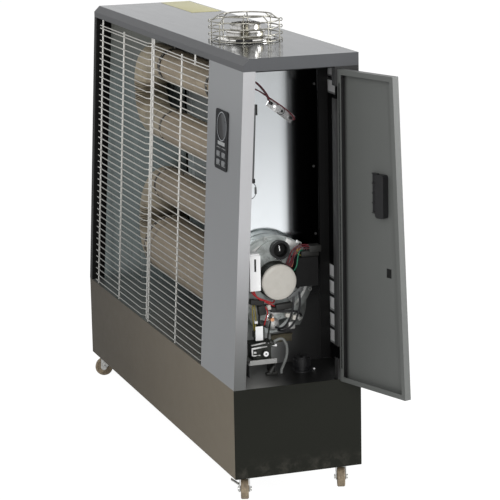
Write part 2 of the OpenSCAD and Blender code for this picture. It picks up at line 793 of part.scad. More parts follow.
module motor_cap() {
    r = motor_d / 2;
    color("#dcdbd6") translate([cap_x, by, bz]) rotate([0, 90, 0]) rotate_extrude()
        polygon([[0, 0], [r - 1.5, 0], [r - 1.5, 5], [r - 3.5, 7.5], [r - 10, 9], [0, 9.6]]);
}

module air_intake() {
    color("#1d1d1e") difference() {
        union() {
            disc_x(motor_x, motor_x + 20, 22.5, intake_y, intake_z);
            disc_x(motor_x + 17, motor_x + 20, 24, intake_y, intake_z);
        }
        disc_x(motor_x - 1, motor_x + 30, 18, intake_y, intake_z);
    }
}

pump_x = hw - 145;
shelf_z = deck_z + 38;
module pump_bracket() {
    color("#a9abac") translate([pump_x - 14, -92, 0]) {
        translate([0, 0, shelf_z]) cube([70, 70, 2]);
        translate([68, 0, shelf_z - 5]) cube([2, 70, 12]);
        for (y = [0, 68]) translate([0, y, deck_z]) cube([60, 2, shelf_z - deck_z + 1]);
    }
}

module fuel_pump() {
    z = shelf_z + 2;
    color("#8d8f90") {
        translate([pump_x, -78, z]) cube([42, 46, 36]);
        translate([pump_x - 6, -82, z + 36]) cube([54, 58, 5]);
        disc_x(pump_x + 41, pump_x + 50, 9, -48, z + 17);
        disc_x(pump_x + 41, pump_x + 48, 4, -68, z + 10);
        disc_x(pump_x + 41, pump_x + 48, 4, -68, z + 26);
        translate([pump_x + 36, -30, z + 43]) sphere(6);
        translate([pump_x + 36, -30, z + 38]) cylinder(h = 5, r = 4);
    }
}

module solenoid_coil() {
    z = shelf_z + 43;
    color("#c9cac8") translate([pump_x + 14, -53, z]) {
        cylinder(h = 43, r = 6);
        translate([-12, -10.5, 2]) cube([24, 21, 37]);
        translate([-5, -16, 12]) cube([14, 6, 16]);
    }
}

// Point of a route, counted from the cabinet's right end and the deck
function from_deck(x, y, z) = [hw + x, y, deck_z + z];
hose_route = [from_deck(-109, -23.4, 83), from_deck(-109, -19.5, 83.4), from_deck(-108, -10, 87.5),
    from_deck(-107, 0, 87), from_deck(-106, 8, 76), from_deck(-106, 11, 62), from_deck(-107, 10, 44),
    from_deck(-108, 5, 28), from_deck(-110, 0, 14), from_deck(-110, -3, 5), from_deck(-110, -3, -41)];
module fuel_hose() {
    color("#8b8c8a") sweep(curve(hose_route, 3), 3.6, 10);
}

module ignition_transformer() {
    color("#1b1b1c") {
        translate([motor_x, by + 46, bz - 18]) cube([36, 58, 72.5]);
        for (y = [61, 89]) translate([motor_x + 18, by + y, bz + 54]) cylinder(h = 10, r = 6);
    }
}

module flame_control_box() {
    color("#e9e9e6") difference() {
        translate([motor_x, by - 73.5, bz - 18]) cube([36, 27, 88]);
        translate([motor_x + 34, by - 62.5, bz + 30]) cube([5, 5, 32]);
    }
}

switch_x = burner_x;
switch_y = emitter_y + 48;
switch_z = deck_z + 640;
switch_a = -38;
module overheat_switch() {
    color("#b4b6b4") translate([switch_x, switch_y, switch_z]) rotate([switch_a, 0, 0]) {
        translate([0, -40, -11]) cube([1.5, 80, 22]);
        translate([0, -10, 0]) rotate([0, 90, 0]) cylinder(h = 10, r = 9);
        for (y = [-34, 26]) translate([1, y, -3]) cube([7, 8, 6]);
    }
}

// Points of the leads, seen from the overheat switch, the control panel's back and the blower
function at_switch(x, y, z) = [switch_x + x, switch_y + y * cos(switch_a) - z * sin(switch_a),
    switch_z + y * sin(switch_a) + z * cos(switch_a)];
function behind_panel(x, z, d) = [ctrl_x + x, front_y(deck_z + z) + 18.1 + seat + d, deck_z + z];
function at_blower(x, y, z) = [motor_x + x, by + y, bz + z];
lead_a = [behind_panel(12, 640, 0), behind_panel(12, 640, 3), behind_panel(12, 640, 6),
    behind_panel(4, 668, 20), from_deck(-170, -62, 712), from_deck(-182, -40, 721),
    from_deck(-186, -27, 716), from_deck(-189, -12, 705), at_switch(10, -44, 13), at_switch(5.5, -43, 3),
    at_switch(4.5, -41, 0), at_switch(4.5, -37.6, 0), at_switch(4.5, -34 - seat, 0)];
lead_b = [behind_panel(18, 625, 0), behind_panel(18, 625, 3), behind_panel(18, 625, 6),
    behind_panel(8, 652, 20), from_deck(-168, -60, 702), from_deck(-182, -38, 702),
    from_deck(-188, -20, 692), from_deck(-186, 2, 676), from_deck(-186, 32, 656), from_deck(-189, 56, 638),
    at_switch(8, 45, 5), at_switch(5.5, 43.5, 1), at_switch(4.5, 41, 0), at_switch(4.5, 37.6, 0),
    at_switch(4.5, 34 + seat, 0)];
loom_a = [at_blower(21, -69.5, -18.4), at_blower(23, -69, -33), at_blower(26, -55, -41),
    at_blower(28, -39, -44), at_blower(27, -25, -46), at_blower(23, -15, -48), at_blower(20, -13, -42.2)];
loom_b = [at_blower(11, -51.5, -18.4), at_blower(13, -50, -42), at_blower(18, -48, -66),
    from_deck(-127, -52, 146), from_deck(-131, -53, 134), from_deck(-131, -53, 128),
    from_deck(-131, -53, 124.3)];
loom_c = [at_blower(25, 67, -18.3), at_blower(26, 64, -30), at_blower(28, 53, -44), at_blower(27, 37, -52),
    at_blower(23, 21, -53), at_blower(20, 14, -42.4)];
module wiring() {
    paths = [lead_a, lead_b, loom_a, loom_b, loom_c];
    colours = ["#8a1c28", "#8a1c28", "#a01818", "#202020", "#2c6a3c"];
    for (i = [0:4]) color(colours[i]) sweep(curve(paths[i], 3), 1.4, 8);
}

sensor_z = deck_z + 482;
sensor_loop = [[17, 0.7], [19, 5], [17, 12], [11, 16], [7.6, 17]];
module room_sensor() {
    x = hw - 20;
    y = front_y(sensor_z) + strip_w;
    color("#e4e4e0") translate([x, y, sensor_z]) {
        for (s = [-1, 1])
            sweep(curve([for (p = sensor_loop) [0, p[1] + s * p[0] * lean / upper_h, s * p[0]]], 2), 0.9, 8);
        translate([0, 16.6, -8]) cylinder(h = 16, r = 2.6);
    }
}

// Controls, on the leaning front

module control_bezel() {
    key_rows = [-34, -54];
    color("#3d3f42") on_front() translate([ctrl_x, 0, ctrl_z]) rotate([90, 0, 0]) difference() {
        union() {
            linear_extrude(2) round_rect(ctrl_w, ctrl_h, 8);
            translate([0, 0, -18]) linear_extrude(18.5)
                round_rect(ctrl_w - 6 - 2 * seat, ctrl_h - 6 - 2 * seat, 6);
        }
        translate([0, 0, -16]) linear_extrude(15) round_rect(ctrl_w - 11, ctrl_h - 11, 5);
        translate([0, ctrl_h / 2 - 8 - display_d / 2, -0.2]) cylinder(h = 5, r = display_d / 2);
        for (x = [-19, 19], z = key_rows) translate([x, z, -5]) linear_extrude(10)
            round_rect(key_w + 2 * seat, key_h + 2 * seat, 3);
    }
}

module display_window() {
    color("#101214") on_front() translate([ctrl_x, 0, ctrl_z + ctrl_h / 2 - 8 - display_d / 2])
        rotate([90, 0, 0]) translate([0, 0, -0.2]) cylinder(h = 1.4, r = display_d / 2 - 0.2);
}

module key(x, z) {
    color("#8f9194") on_front() translate([ctrl_x + x, 0, ctrl_z + z]) rotate([90, 0, 0]) {
        translate([0, 0, -1.2]) linear_extrude(4.4) round_rect(key_w, key_h, 2.7);
        translate([0, 0, -3]) linear_extrude(1.8) round_rect(key_w + 3, key_h + 3, 3);
    }
}

module key_1() { key(-19, -34); }
module key_2() { key(19, -34); }
module key_3() { key(-19, -54); }
module key_4() { key(19, -54); }

// Side door, drawn closed and swung open about the hinge axis

door_rear = post_edge - door_gap;
door_z0 = deck_z + door_gap;
door_z1 = eave_z - 4;
door_front_0 = front_y(door_z0) + strip_w + door_gap;
door_front_1 = front_y(door_z1) + strip_w + door_gap;
module swing() {
    translate([hinge_x, hinge_y, 0]) rotate([0, 0, door_open]) translate([-hinge_x, -hinge_y, 0]) children();
}

module door_outline(g) {
    polygon([[door_rear - g, door_z0 + g], [door_rear - g, door_z1 - g],
        [door_front_1 + g, door_z1 - g], [door_front_0 + g, door_z0 + g]]);
}

grip_z = deck_z + 478;
grip_y = door_rear - 146;
grip_w = 30;
grip_h = 104;
grip_t = 16;
grip_r = 7;
module door_pan() {
    x0 = hw - door_t;
    color("#6c6e6d") swing() difference() {
        along_x(x0, hw) door_outline(0);
        along_x(x0 + sheet_t, hw - sheet_t) door_outline(sheet_t);
        along_x(x0 - 1, x0 + sheet_t + 1) door_outline(door_lip);
        translate([x0 - 1, grip_y, grip_z]) rotate([90, 0, 90]) linear_extrude(door_t + 2)
            round_rect(grip_w, grip_h, grip_r);
    }
}

module hinge_leaves() {
    color("#4a4b4b") swing() for (z = hinge_zs) difference() {
        union() {
            translate([hinge_x, hinge_y, z + seat]) cylinder(h = knuckle_h, r = knuckle_r);
            translate([hw, door_rear - 34, z + seat]) cube([1.6, hinge_y - door_rear + 34, knuckle_h]);
        }
        translate([hinge_x, hinge_y, z - 1]) cylinder(h = knuckle_h + 4, r = hinge_pin_d / 2 + run_gap);
    }
}

// Recessed pull, its cup open on the door's outer face
module door_grip() {
    wall = 2;
    ribs = 4;
    rim = 4;
    plate_w = 22;
    plate_h = 92;
    cup_x = hw - sheet_t - grip_t;
    color("#19191a") swing() {
        difference() {
            union() {
                translate([cup_x, grip_y, grip_z]) rotate([90, 0, 90])
                    linear_extrude(grip_t + sheet_t + 0.5)
                        round_rect(grip_w - 2 * seat, grip_h - 2 * seat, grip_r - seat);
                translate([hw + seat, grip_y, grip_z]) rotate([90, 0, 90]) linear_extrude(1.8)
                    round_rect(grip_w + 2 * rim, grip_h + 2 * rim, grip_r + rim);
            }
            translate([cup_x + wall, grip_y, grip_z]) rotate([90, 0, 90]) linear_extrude(grip_t + 10)
                round_rect(grip_w - 2 * wall - 2, grip_h - 2 * wall - 2, grip_r - wall);
        }
        translate([hw - sheet_t - seat - 4, grip_y + grip_w / 2 - 1, grip_z + grip_h / 2 - 1 - plate_h])
            cube([4, plate_w, plate_h]);
        for (i = [0:ribs]) translate([hw - sheet_t - seat - 9, grip_y + grip_w / 2 - 1,
            grip_z + grip_h / 2 - 3.5 - plate_h + i * (plate_h + 2) / ribs]) cube([6, plate_w - 3, 2.5]);
    }
}

// Castors

steer = [251, -19, 215, -19];
pivots = [[-hw + caster_x, -hd + caster_front], [hw - caster_x, -hd + caster_front],
    [-hw + caster_x, hd - caster_rear], [hw - caster_x, hd - caster_rear]];
wheel_z = wheel_d / 2;
bridge_z = wheel_d + 1.6;
race_h = 5.5;

module caster_plates() {
    color("#b7b8b6") for (p = pivots) translate([p[0], p[1], 0]) {
        translate([0, 0, base_z - 2]) linear_extrude(2) round_rect(58, 58, 6);
        translate([0, 0, bridge_z + 2.4 + seat]) cylinder(h = base_z - 1 - bridge_z - 2.4 - seat, r = 17);
        translate([0, 0, bridge_z - 2.5]) cylinder(h = base_z - bridge_z, r = 4);
        translate([0, 0, bridge_z - 2.8]) cylinder(h = 2.5, r = 6.5);
    }
}

// Swivelling fork, its trail pointing along +X before it is steered
module at_caster(i) {
    translate([pivots[i][0], pivots[i][1], 0]) rotate([0, 0, steer[i]]) children();
}

module fork(i) {
    cheek = 1.8;
    y0 = wheel_w / 2 + 0.8;
    color("#a9abaa") at_caster(i) difference() {
        union() {
            translate([0, 0, bridge_z]) cylinder(h = 2.4, r = 18);
            translate([0, -y0 - cheek, bridge_z]) cube([trail + 8, 2 * (y0 + cheek), 2.4]);
            for (s = [-1, 1]) translate([0, s * (y0 + cheek / 2) + cheek / 2, 0]) rotate([90, 0, 0])
                linear_extrude(cheek) {
                    polygon([[-9, bridge_z + 2.4], [trail + 8, bridge_z + 2.4], [trail + 8.5, wheel_z],
                        [trail - 8.5, wheel_z], [-9, bridge_z - 8]]);
                    translate([trail, wheel_z]) circle(8.5);
                }
            translate([trail, y0 + cheek + 1.5, wheel_z]) rotate([90, 0, 0])
                cylinder(h = 2 * (y0 + cheek + 1.5), r = axle_d / 2);
        }
        translate([0, 0, bridge_z - 1]) cylinder(h = 6, r = 4 + run_gap);
    }
}

module wheel(i) {
    r = wheel_d / 2;
    w = wheel_w / 2;
    color("#6b5f50") at_caster(i) translate([trail, 0, wheel_z]) rotate([90, 0, 0]) rotate_extrude()
        polygon([[axle_d / 2 + run_gap, -w], [8, -w], [8, -w + 2], [r - 7, -w + 2], [r - 6, -w + 0.6],
            [r - 2, -w + 0.6], [r, -w + 3], [r, w - 3], [r - 2, w - 0.6], [r - 6, w - 0.6], [r - 7, w - 2],
            [8, w - 2], [8, w], [axle_d / 2 + run_gap, w]]);
}

module fork_front_left() { fork(0); }
module fork_front_right() { fork(1); }
module fork_rear_left() { fork(2); }
module fork_rear_right() { fork(3); }
module wheel_front_left() { wheel(0); }
module wheel_front_right() { wheel(1); }
module wheel_rear_left() { wheel(2); }
module wheel_rear_right() { wheel(3); }

// Foot lever that clamps the wheel, turning about the axle's end
module brake_pedal(i) {
    y = -wheel_w / 2 - 0.8 - 1.8 - 0.3;
    color("#9c9ea0") at_caster(i) difference() {
        union() {
            translate([trail, y, wheel_z]) rotate([90, 0, 0]) cylinder(h = 1.8, r = 8);
            translate([trail - 7, y - 1.8, wheel_z - 4]) cube([14, 1.8, 18]);
            translate([trail - 8, y, wheel_z + 12]) rotate([145, 0, 0]) cube([16, 24, 1.8]);
        }
        translate([trail, y + 1, wheel_z]) rotate([90, 0, 0]) cylinder(h = 6, r = axle_d / 2 + run_gap);
    }
}

module brake_pedal_left() { brake_pedal(0); }
module brake_pedal_right() { brake_pedal(1); }

base_skirt();
base_pan();
deck_plate();
fuel_tank();
filler_neck();
fuel_cap();
left_end_panel();
rear_panel();
front_panel();
hinge_post();
top_cover();
ceiling_plate();
bay_partition();
heat_shield();
reflectors();
combustion_chamber();
emitter_tubes();
emitter_bends();
flue_elbow();
tube_hangers();
flue_spigot();
flue_guard();
guard_left();
guard_right();
burner_head();
blower_scroll();
blower_wheel();
fan_motor();
motor_cap();
air_intake();
fuel_pump();
solenoid_coil();
pump_bracket();
fuel_hose();
ignition_transformer();
flame_control_box();
overheat_switch();
wiring();
cable_gland();
control_bezel();
display_window();
key_1();
key_2();
key_3();
key_4();
door_pan();
hinge_leaves();
door_grip();
room_sensor();
caster_plates();
fork_front_left();
fork_front_right();
fork_rear_left();
fork_rear_right();
wheel_front_left();
wheel_front_right();
wheel_rear_left();
wheel_rear_right();
brake_pedal_left();
brake_pedal_right();
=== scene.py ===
import math
import bmesh
import bpy
from mathutils import Matrix, Vector


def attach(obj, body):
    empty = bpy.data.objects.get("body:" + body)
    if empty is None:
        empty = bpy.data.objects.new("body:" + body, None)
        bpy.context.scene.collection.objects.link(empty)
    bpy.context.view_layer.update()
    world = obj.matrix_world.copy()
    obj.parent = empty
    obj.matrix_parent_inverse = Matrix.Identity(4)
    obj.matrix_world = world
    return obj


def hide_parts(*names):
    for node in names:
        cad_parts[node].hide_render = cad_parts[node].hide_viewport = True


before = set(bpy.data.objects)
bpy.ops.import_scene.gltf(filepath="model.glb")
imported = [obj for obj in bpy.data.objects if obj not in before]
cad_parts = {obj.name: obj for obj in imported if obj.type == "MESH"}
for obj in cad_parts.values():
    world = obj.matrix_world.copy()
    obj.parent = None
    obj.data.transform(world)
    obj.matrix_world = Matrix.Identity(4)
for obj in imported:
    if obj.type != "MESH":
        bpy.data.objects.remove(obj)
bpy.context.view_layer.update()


def turned(degrees, axis="X", size=4):
    return Matrix.Rotation(math.radians(degrees), size, axis)


# Sizes of the solids in millimetres; MM turns them into the frame's metres

MM = 0.001
HALF_D = 165
DECK = 286
LEAN = 40 / 769
LEAN_ANGLE = math.atan(LEAN)
EMITTER_Y = -10
PASSES = (953, 782, 611, 440)
PASS_R = (47, 47, 47, 80)
BEND_R = 85.5
TUBE_WALL = 1.5
PLEATS = 36

# Each bend: its centre x and z, its radius at both ends, its leg, its pleats and its side

BENDS = ((-411, 867.5, 47, 47, 141, PLEATS, 1),
         (-334, 525.5, 47, 80, 0, PLEATS, 1),
         (318.5, 696.5, 47, 47, 0, 0, -1))

FLUE = Vector((316, 0, 1086))
BLOWER_Y, BLOWER_Z = -7, 518
SWITCH = Vector((458, 38, 926))
SWITCH_TILT = -38
PANEL_X = 518
REAR_FACE = 165.6
LEFT_FACE = -661
WHEEL_Z = 25.5
TRAIL = 22
CASTERS = {"front_left": (-604, -123, 251), "front_right": (604, -123, -19),
           "rear_left": (-604, 130, 215), "rear_right": (604, 130, -19)}
ALONG_X = (1, 0, 0)
UP = (0, 0, 1)
OFF_FRONT = (0, -1, 0.05)

# Places in metres

HINGE = Vector((662 * MM, 116 * MM, 0))
FRONT_AXES = Matrix.Translation((0, -HALF_D * MM, DECK * MM)) @ Matrix.Rotation(-LEAN_ANGLE, 4, "X")
DOOR_AXES = Matrix.Translation(HINGE) @ turned(109, "Z") @ Matrix.Translation(-HINGE)
BAY_FLOOR_X = 0.458
TUBE_JOINTS = (-0.270, -0.334, 0.236)


def linked(name, data):
    made = bpy.data.objects.new(name, data)
    bpy.context.collection.objects.link(made)
    return made


def new_node(tree, kind, settings=None, inputs=None):
    """A node with its settings; an input takes a constant, or the Value or socket that feeds it."""
    node = tree.nodes.new(kind)
    for key, value in (settings or {}).items():
        setattr(node, key, value)
    for key, value in (inputs or {}).items():
        value = getattr(value, "socket", value)
        if isinstance(value, bpy.types.NodeSocket):
            tree.links.new(value, node.inputs[key])
        else:
            node.inputs[key].default_value = value
    return node


# Camera and light

def place_camera():
    azimuth, pitch, roll = (math.radians(a) for a in (71.05, 12.32, -1.09))
    level = math.cos(pitch)
    forward = Vector((-math.sin(azimuth) * level, math.cos(azimuth) * level, -math.sin(pitch)))
    right = forward.cross(Vector(UP)).normalized()
    up = right.cross(forward)
    tilted_right = right * math.cos(roll) + up * math.sin(roll)
    tilted_up = up * math.cos(roll) - right * math.sin(roll)
    lens = bpy.data.cameras.new("camera")
    lens.sensor_width = 36
    lens.lens = 160.14
    camera = linked("camera", lens)
    turn = Matrix((tilted_right, tilted_up, -forward)).transposed().to_4x4()
    camera.matrix_world = Matrix.Translation((5.5494, -1.7959, 1.7586)) @ turn
    bpy.context.scene.camera = camera


def soft_box(name, place, aim, size, power):
    data = bpy.data.lights.new(name, "AREA")
    data.shape = "RECTANGLE"
    data.size, data.size_y = size
    data.energy = power
    lamp = linked(name, data)
    lamp.location = place
    lamp.rotation_euler = (Vector(aim) - Vector(place)).to_track_quat("-Z", "Y").to_euler()


# Materials

def maths(operation, swapped=False):
    """A method of Value that adds a Math node."""
    def method(self, *others):
        operands = (*others, self) if swapped else (self, *others)
        node = self.finish.node("ShaderNodeMath", {"operation": operation}, dict(enumerate(operands)))
        return Value(self.finish, node.outputs[0])
    return method


class Value:
    """A socket of a finish; arithmetic on it adds Math nodes."""

    def __init__(self, finish, socket):
        self.finish = finish
        self.socket = socket

    def step(self, low, high):
        inputs = {"Value": self, "From Min": low, "From Max": high}
        node = self.finish.node("ShaderNodeMapRange", {"interpolation_type": "SMOOTHSTEP"}, inputs)
        return Value(self.finish, node.outputs["Result"])

    __add__ = maths("ADD")
    __radd__ = maths("ADD", True)
    __sub__ = maths("SUBTRACT")
    __rsub__ = maths("SUBTRACT", True)
    __mul__ = maths("MULTIPLY")
    __rmul__ = maths("MULTIPLY", True)
    __truediv__ = maths("DIVIDE")
    __gt__ = maths("GREATER_THAN")
    __lt__ = maths("LESS_THAN")
    __abs__ = maths("ABSOLUTE")
    frac = maths("FRACT")
    heading = maths("ARCTAN2")
    high = maths("MAXIMUM")
    sine = maths("SINE")
    root = maths("SQRT")


class Finish:
    """A material under construction, read in the object's own metres."""

    def __init__(self, name):
        self.material = bpy.data.materials.new(name)
        self.material.use_nodes = True
        self.tree = self.material.node_tree
        self.tree.nodes.clear()
        self.place = self.value("ShaderNodeTexCoord", "Object")

    def node(self, kind, settings=None, inputs=None):
        return new_node(self.tree, kind, settings, inputs)

    def value(self, kind, output, settings=None, inputs=None):
        return Value(self, self.node(kind, settings, inputs).outputs[output])

    def axes(self, place=None):
        node = self.node("ShaderNodeSeparateXYZ", None, {0: place or self.place})
        return [Value(self, node.outputs[i]) for i in range(3)]

    def mapped(self, *scale):
        inputs = {"Vector": self.place, "Scale": scale}
        return self.value("ShaderNodeMapping", 0, {"vector_type": "POINT"}, inputs)

    def noise(self, scale, detail=2.0, rough=0.5, place=None, warp=0.0):
        inputs = {"Vector": place or self.place, "Scale": scale, "Detail": detail,
                  "Roughness": rough, "Distortion": warp}
        return self.value("ShaderNodeTexNoise", 0, None, inputs)

    def cells(self, scale, place=None, feature="F1"):
        inputs = {"Vector": place or self.place, "Scale": scale}
        return self.value("ShaderNodeTexVoronoi", "Distance", {"feature": feature}, inputs)

    def mix(self, low, high, part):
        low, high = ((*c, 1) if isinstance(c, tuple) else c for c in (low, high))
        inputs = {"Factor": part, 6: low, 7: high}
        return self.value("ShaderNodeMix", 2, {"data_type": "RGBA", "clamp_factor": True}, inputs)

    def bump(self, height, strength, depth, under=None):
        inputs = {"Height": height, "Strength": strength, "Distance": depth}
        if under:
            inputs["Normal"] = under
        return self.value("ShaderNodeBump", 0, None, inputs)

    def peel(self, scale=620, strength=0.10, depth=0.0006):
        """Orange peel of a baked coat."""
        return self.bump(self.noise(scale, 2, 0.45), strength, depth)

    def surface(self, base, rough, normal=None, **sockets):
        inputs = {"Base Color": base, "Roughness": rough}
        if normal:
            inputs["Normal"] = normal
        inputs.update({key.replace("_", " "): value for key, value in sockets.items()})
        return self.close(self.node("ShaderNodeBsdfPrincipled", None, inputs))

    def close(self, shader):
        self.node("ShaderNodeOutputMaterial", None, {0: shader.outputs[0]})
        return self.material


def begun(name):
    """A new finish and its three axes."""
    finish = Finish(name)
    return finish, *finish.axes()


def srgb(r, g, b):
    return tuple(((c / 255 + 0.055) / 1.055) ** 2.4 if c > 10 else c / 255 / 12.92 for c in (r, g, b))


def grey(level):
    return srgb(level, level, level)


def linear(level):
    return (level, level, level)


def powder_coat(name, low, high, rough=0.36, dust=0.0, grime_z=None, gleam=0.5, painted_light_and_shade=False):
    """Baked powder coat: orange peel, slow tone drift, fine speckle and a little dust low down; on
    request, painted light growing towards +x and painted shade on the end faces.
    """
    paint = Finish(name)
    drift = paint.noise(5, 3, 0.6)
    speckle = paint.noise(1400, 1, 0.4)
    x, y, z = paint.axes()
    part = drift * 0.7 + speckle * 0.3
    if painted_light_and_shade:
        # Painted light: the coat lightens towards +x.
        part = part * 0.25 + x.step(-0.75, 0.64) * 0.75
    tone = paint.mix(low, high, part)
    if painted_light_and_shade:
        # Painted shade: the end faces darker than the front.
        tone = paint.mix(tone, srgb(22, 23, 18), abs(x) > 0.6575)
    wear = paint.noise(38, 4, 0.7, warp=0.4)
    if grime_z is not None:
        settled = (1 - z.step(grime_z[0], grime_z[1])) * wear.step(0.42, 0.75)
        tone = paint.mix(tone, (0.22, 0.20, 0.17), settled * dust)
    gloss = rough + 0.10 * wear + 0.05 * speckle
    return paint.surface(tone, gloss, paint.peel(), Specular_IOR_Level=gleam)


def door_coat(name):
    """Satin grey on the door, paler on its free flange, with painted shade in the fold beside the hinge.
    """
    paint, x, y, z = begun(name)
    drift = paint.noise(4, 3, 0.6)
    speckle = paint.noise(1400, 1, 0.4)
    reach = ((x - HINGE.x) * (x - HINGE.x) + (y - HINGE.y) * (y - HINGE.y)).root()
    tone = paint.mix(srgb(72, 74, 72), srgb(92, 94, 92), drift * 0.4 + speckle * 0.1)
    tone = paint.mix(tone, srgb(108, 110, 109), reach.step(0.262, 0.270))
    # Painted shade in the fold beside the hinge.
    tone = paint.mix(tone, grey(24), 1 - reach.step(0.018, 0.030))
    return paint.surface(tone, 0.42 + 0.05 * speckle, paint.peel())


def glossy_cover(name, low, high):
    """Stoved enamel, satin on the folded rim and polished on the flat top, with faint wiping marks."""
    paint, x, y, z = begun(name)
    top = z.step(1.0849, 1.0858)
    drift = paint.noise(4, 3, 0.55)
    speckle = paint.noise(1500, 1, 0.4)
    wiped = paint.noise(16, 4, 0.6, paint.mapped(0.3, 2.2, 1), 0.6)
    tone = paint.mix(low, high, drift * 0.7 + speckle * 0.3)
    tone = paint.mix(tone, srgb(84, 86, 89), top)
    gloss = 0.46 - top * 0.36 + 0.08 * wiped
    return paint.surface(tone, gloss, paint.peel(420, 0.04, 0.0004), Metallic=top * 0.75,
                         Specular_IOR_Level=0.32, Specular_Tint=(0.70, 0.71, 0.72, 1))


def brushed_sheet(name, colour, rough, along, metal, stain, tone):
    """Rolled or brushed sheet: hairlines across one axis, cloudy stains and fine scratches."""
    sheet = Finish(name)
    hair = sheet.noise(90, 3, 0.6, sheet.mapped(*along))
    cloud = sheet.noise(7, 4, 0.6, warp=0.5)
    scratch = sheet.cells(60, sheet.mapped(6, 6, 0.4), "DISTANCE_TO_EDGE")
    shade = sheet.mix(colour, tone, cloud.step(0.35, 0.8) * stain)
    gloss = rough + 0.12 * hair + 0.10 * cloud.step(0.4, 0.8)
    height = hair * 0.6 + scratch.step(0.0, 0.04) * 0.1
    return sheet.surface(shade, gloss, sheet.bump(height, 0.05, 0.0003), Metallic=metal)


def reflector_sheet(name):
    """Rolled steel behind the tubes: soft vertical sheen, blue-green cast, smoke tint near the top."""
    sheet, x, y, z = begun(name)
    roll = sheet.noise(7, 4, 0.6, sheet.mapped(1.6, 1.6, 0.25), 0.4)
    fine = sheet.noise(60, 3, 0.6, sheet.mapped(3, 3, 0.2))
    tone = sheet.mix((0.12, 0.15, 0.15), (0.19, 0.215, 0.21), roll.step(0.3, 0.7) * 0.7 + fine * 0.3)
    tone = sheet.mix(tone, (0.155, 0.145, 0.125), z.step(0.84, 1.05) * 0.7)
    tone = sheet.mix(tone, (0.05, 0.06, 0.06), 0.12 + 0.16 * (1 - z.step(0.3, 0.9)))
    clean = x.step(-0.477, -0.474)
    tone = sheet.mix(tone, (0.40, 0.43, 0.43), clean * z.step(0.40, 0.60))
    metal = 0.85 - 0.55 * clean
    return sheet.surface(tone, 0.22 + 0.10 * roll, sheet.bump(roll, 0.03, 0.0010), Metallic=metal)


def bright_liner(name):
    """Mirror-bright liner, slightly bowed so it throws back the open side, with a painted dark reflection
    on its right, and dulled beneath the burner, where a painted reflection runs from pale at the left to
    near black at the right.
    """
    liner, x, y, z = begun(name)
    haze = liner.noise(5, 4, 0.6, warp=0.5)
    hair = liner.noise(80, 3, 0.6, liner.mapped(3, 3, 0.2))
    tone = liner.mix((0.80, 0.835, 0.86), (0.72, 0.75, 0.76), haze.step(0.4, 0.8))
    dull = 1 - z.step(0.40, 0.56)
    # Beneath the burner, a painted reflection: pale on the left, near black on the right.
    tone = liner.mix(tone, liner.mix((0.46, 0.47, 0.46), linear(0.05), y.step(-0.05, 0.06)), dull)
    # Painted dark reflection on the right of the liner.
    tone = liner.mix(tone, linear(0.012), y.step(0.030, 0.088) * 0.95)
    bow = liner.bump(y * 0.070, 1.0, 1.0)
    return liner.surface(tone, 0.09 + 0.04 * haze + 0.22 * dull, liner.bump(hair, 0.02, 0.0003, bow),
                         Metallic=1 - dull * 0.6)


def deck_sheet(name):
    """Plain deck: sooty beneath the tubes, pale at the front of the bay and near black at its back."""
    sheet, x, y, z = begun(name)
    cloud = sheet.noise(9, 4, 0.6, warp=0.4)
    bay = (x > BAY_FLOOR_X) * (1 - y.step(-0.11, 0.0))
    tone = sheet.mix((0.15, 0.16, 0.155), (0.21, 0.22, 0.215), cloud)
    tone = sheet.mix(tone, linear(0.012), x > BAY_FLOOR_X)
    tone = sheet.mix(tone, (0.34, 0.34, 0.33), bay)
    return sheet.surface(tone, 0.34 + 0.15 * cloud, sheet.bump(cloud, 0.05, 0.0004), Metallic=0.6)


def clamp_band(name):
    """Blackened clamp bands with the coat worn through in patches."""
    band = Finish(name)
    patch = band.noise(75, 2, 0.5)
    tone = band.mix((0.030, 0.027, 0.022), (0.36, 0.33, 0.27), patch.step(0.54, 0.60))
    return band.surface(tone, 0.55, band.bump(patch, 0.2, 0.0005))


def flue_chrome(name):
    """Plated collar: painted olive-dark reflections in bands running up the sides, painted shadow lines
    under its tiers, cloudy stains and roughness.
    """
    plate, x, y, z = begun(name)
    band = plate.noise(26, 2, 0.5, plate.mapped(1, 1, 0.12))
    cloud = plate.noise(40, 4, 0.6, warp=0.4)
    facing = y.heading(x - FLUE.x * MM)
    # Painted reflections: olive-dark bands set by the angle round the collar, and streaks on its far side.
    tint = (1 - abs(facing + 0.36).step(0.15, 0.36)).high(1 - abs(facing - 0.62).step(0.08, 0.20))
    tint = tint.high(band.step(0.55, 0.64) * (facing > 1.0))
    # Painted shadow lines under the collar's tiers.
    shadow_lines = (1 - abs(z - 1.1150).step(0.0012, 0.0028)).high(1 - abs(z - 1.0975).step(0.0015, 0.0030))
    tint = tint.high(shadow_lines)
    tone = plate.mix((0.86, 0.85, 0.83), (0.075, 0.066, 0.038), tint * 0.93)
    tone = plate.mix(tone, (0.42, 0.38, 0.27), cloud.step(0.5, 0.8) * 0.3)
    return plate.surface(tone, 0.10 + 0.10 * cloud, plate.bump(cloud, 0.05, 0.0004), Metallic=1.0)


def coated_wire(name):
    """Pale dip coat over welded wire, thin and grey in places and darker towards the bottom, with painted
    light on the upright rods, stronger higher up.
    """
    coat, x, y, z = begun(name)
    thin = coat.noise(60, 4, 0.65)
    upright = 0
    for at in (-0.582, -0.365, -0.117, 0.167, 0.277, -0.079, 0.4002):
        upright = upright + (abs(x - at) < 0.0028)
    tone = coat.mix((0.40, 0.39, 0.365), (0.52, 0.51, 0.48), thin.step(0.3, 0.7))
    tone = coat.mix(tone, (0.16, 0.165, 0.155), (1 - z.step(0.34, 0.86)) * 0.85)
    # Painted light on the upright rods, stronger higher up.
    tone = coat.mix(tone, (0.72, 0.71, 0.68), upright * (0.35 + 0.45 * z.step(0.3, 0.9)))
    return coat.surface(tone, 0.36 + 0.15 * thin, coat.bump(thin, 0.15, 0.0003), Metallic=0.25)


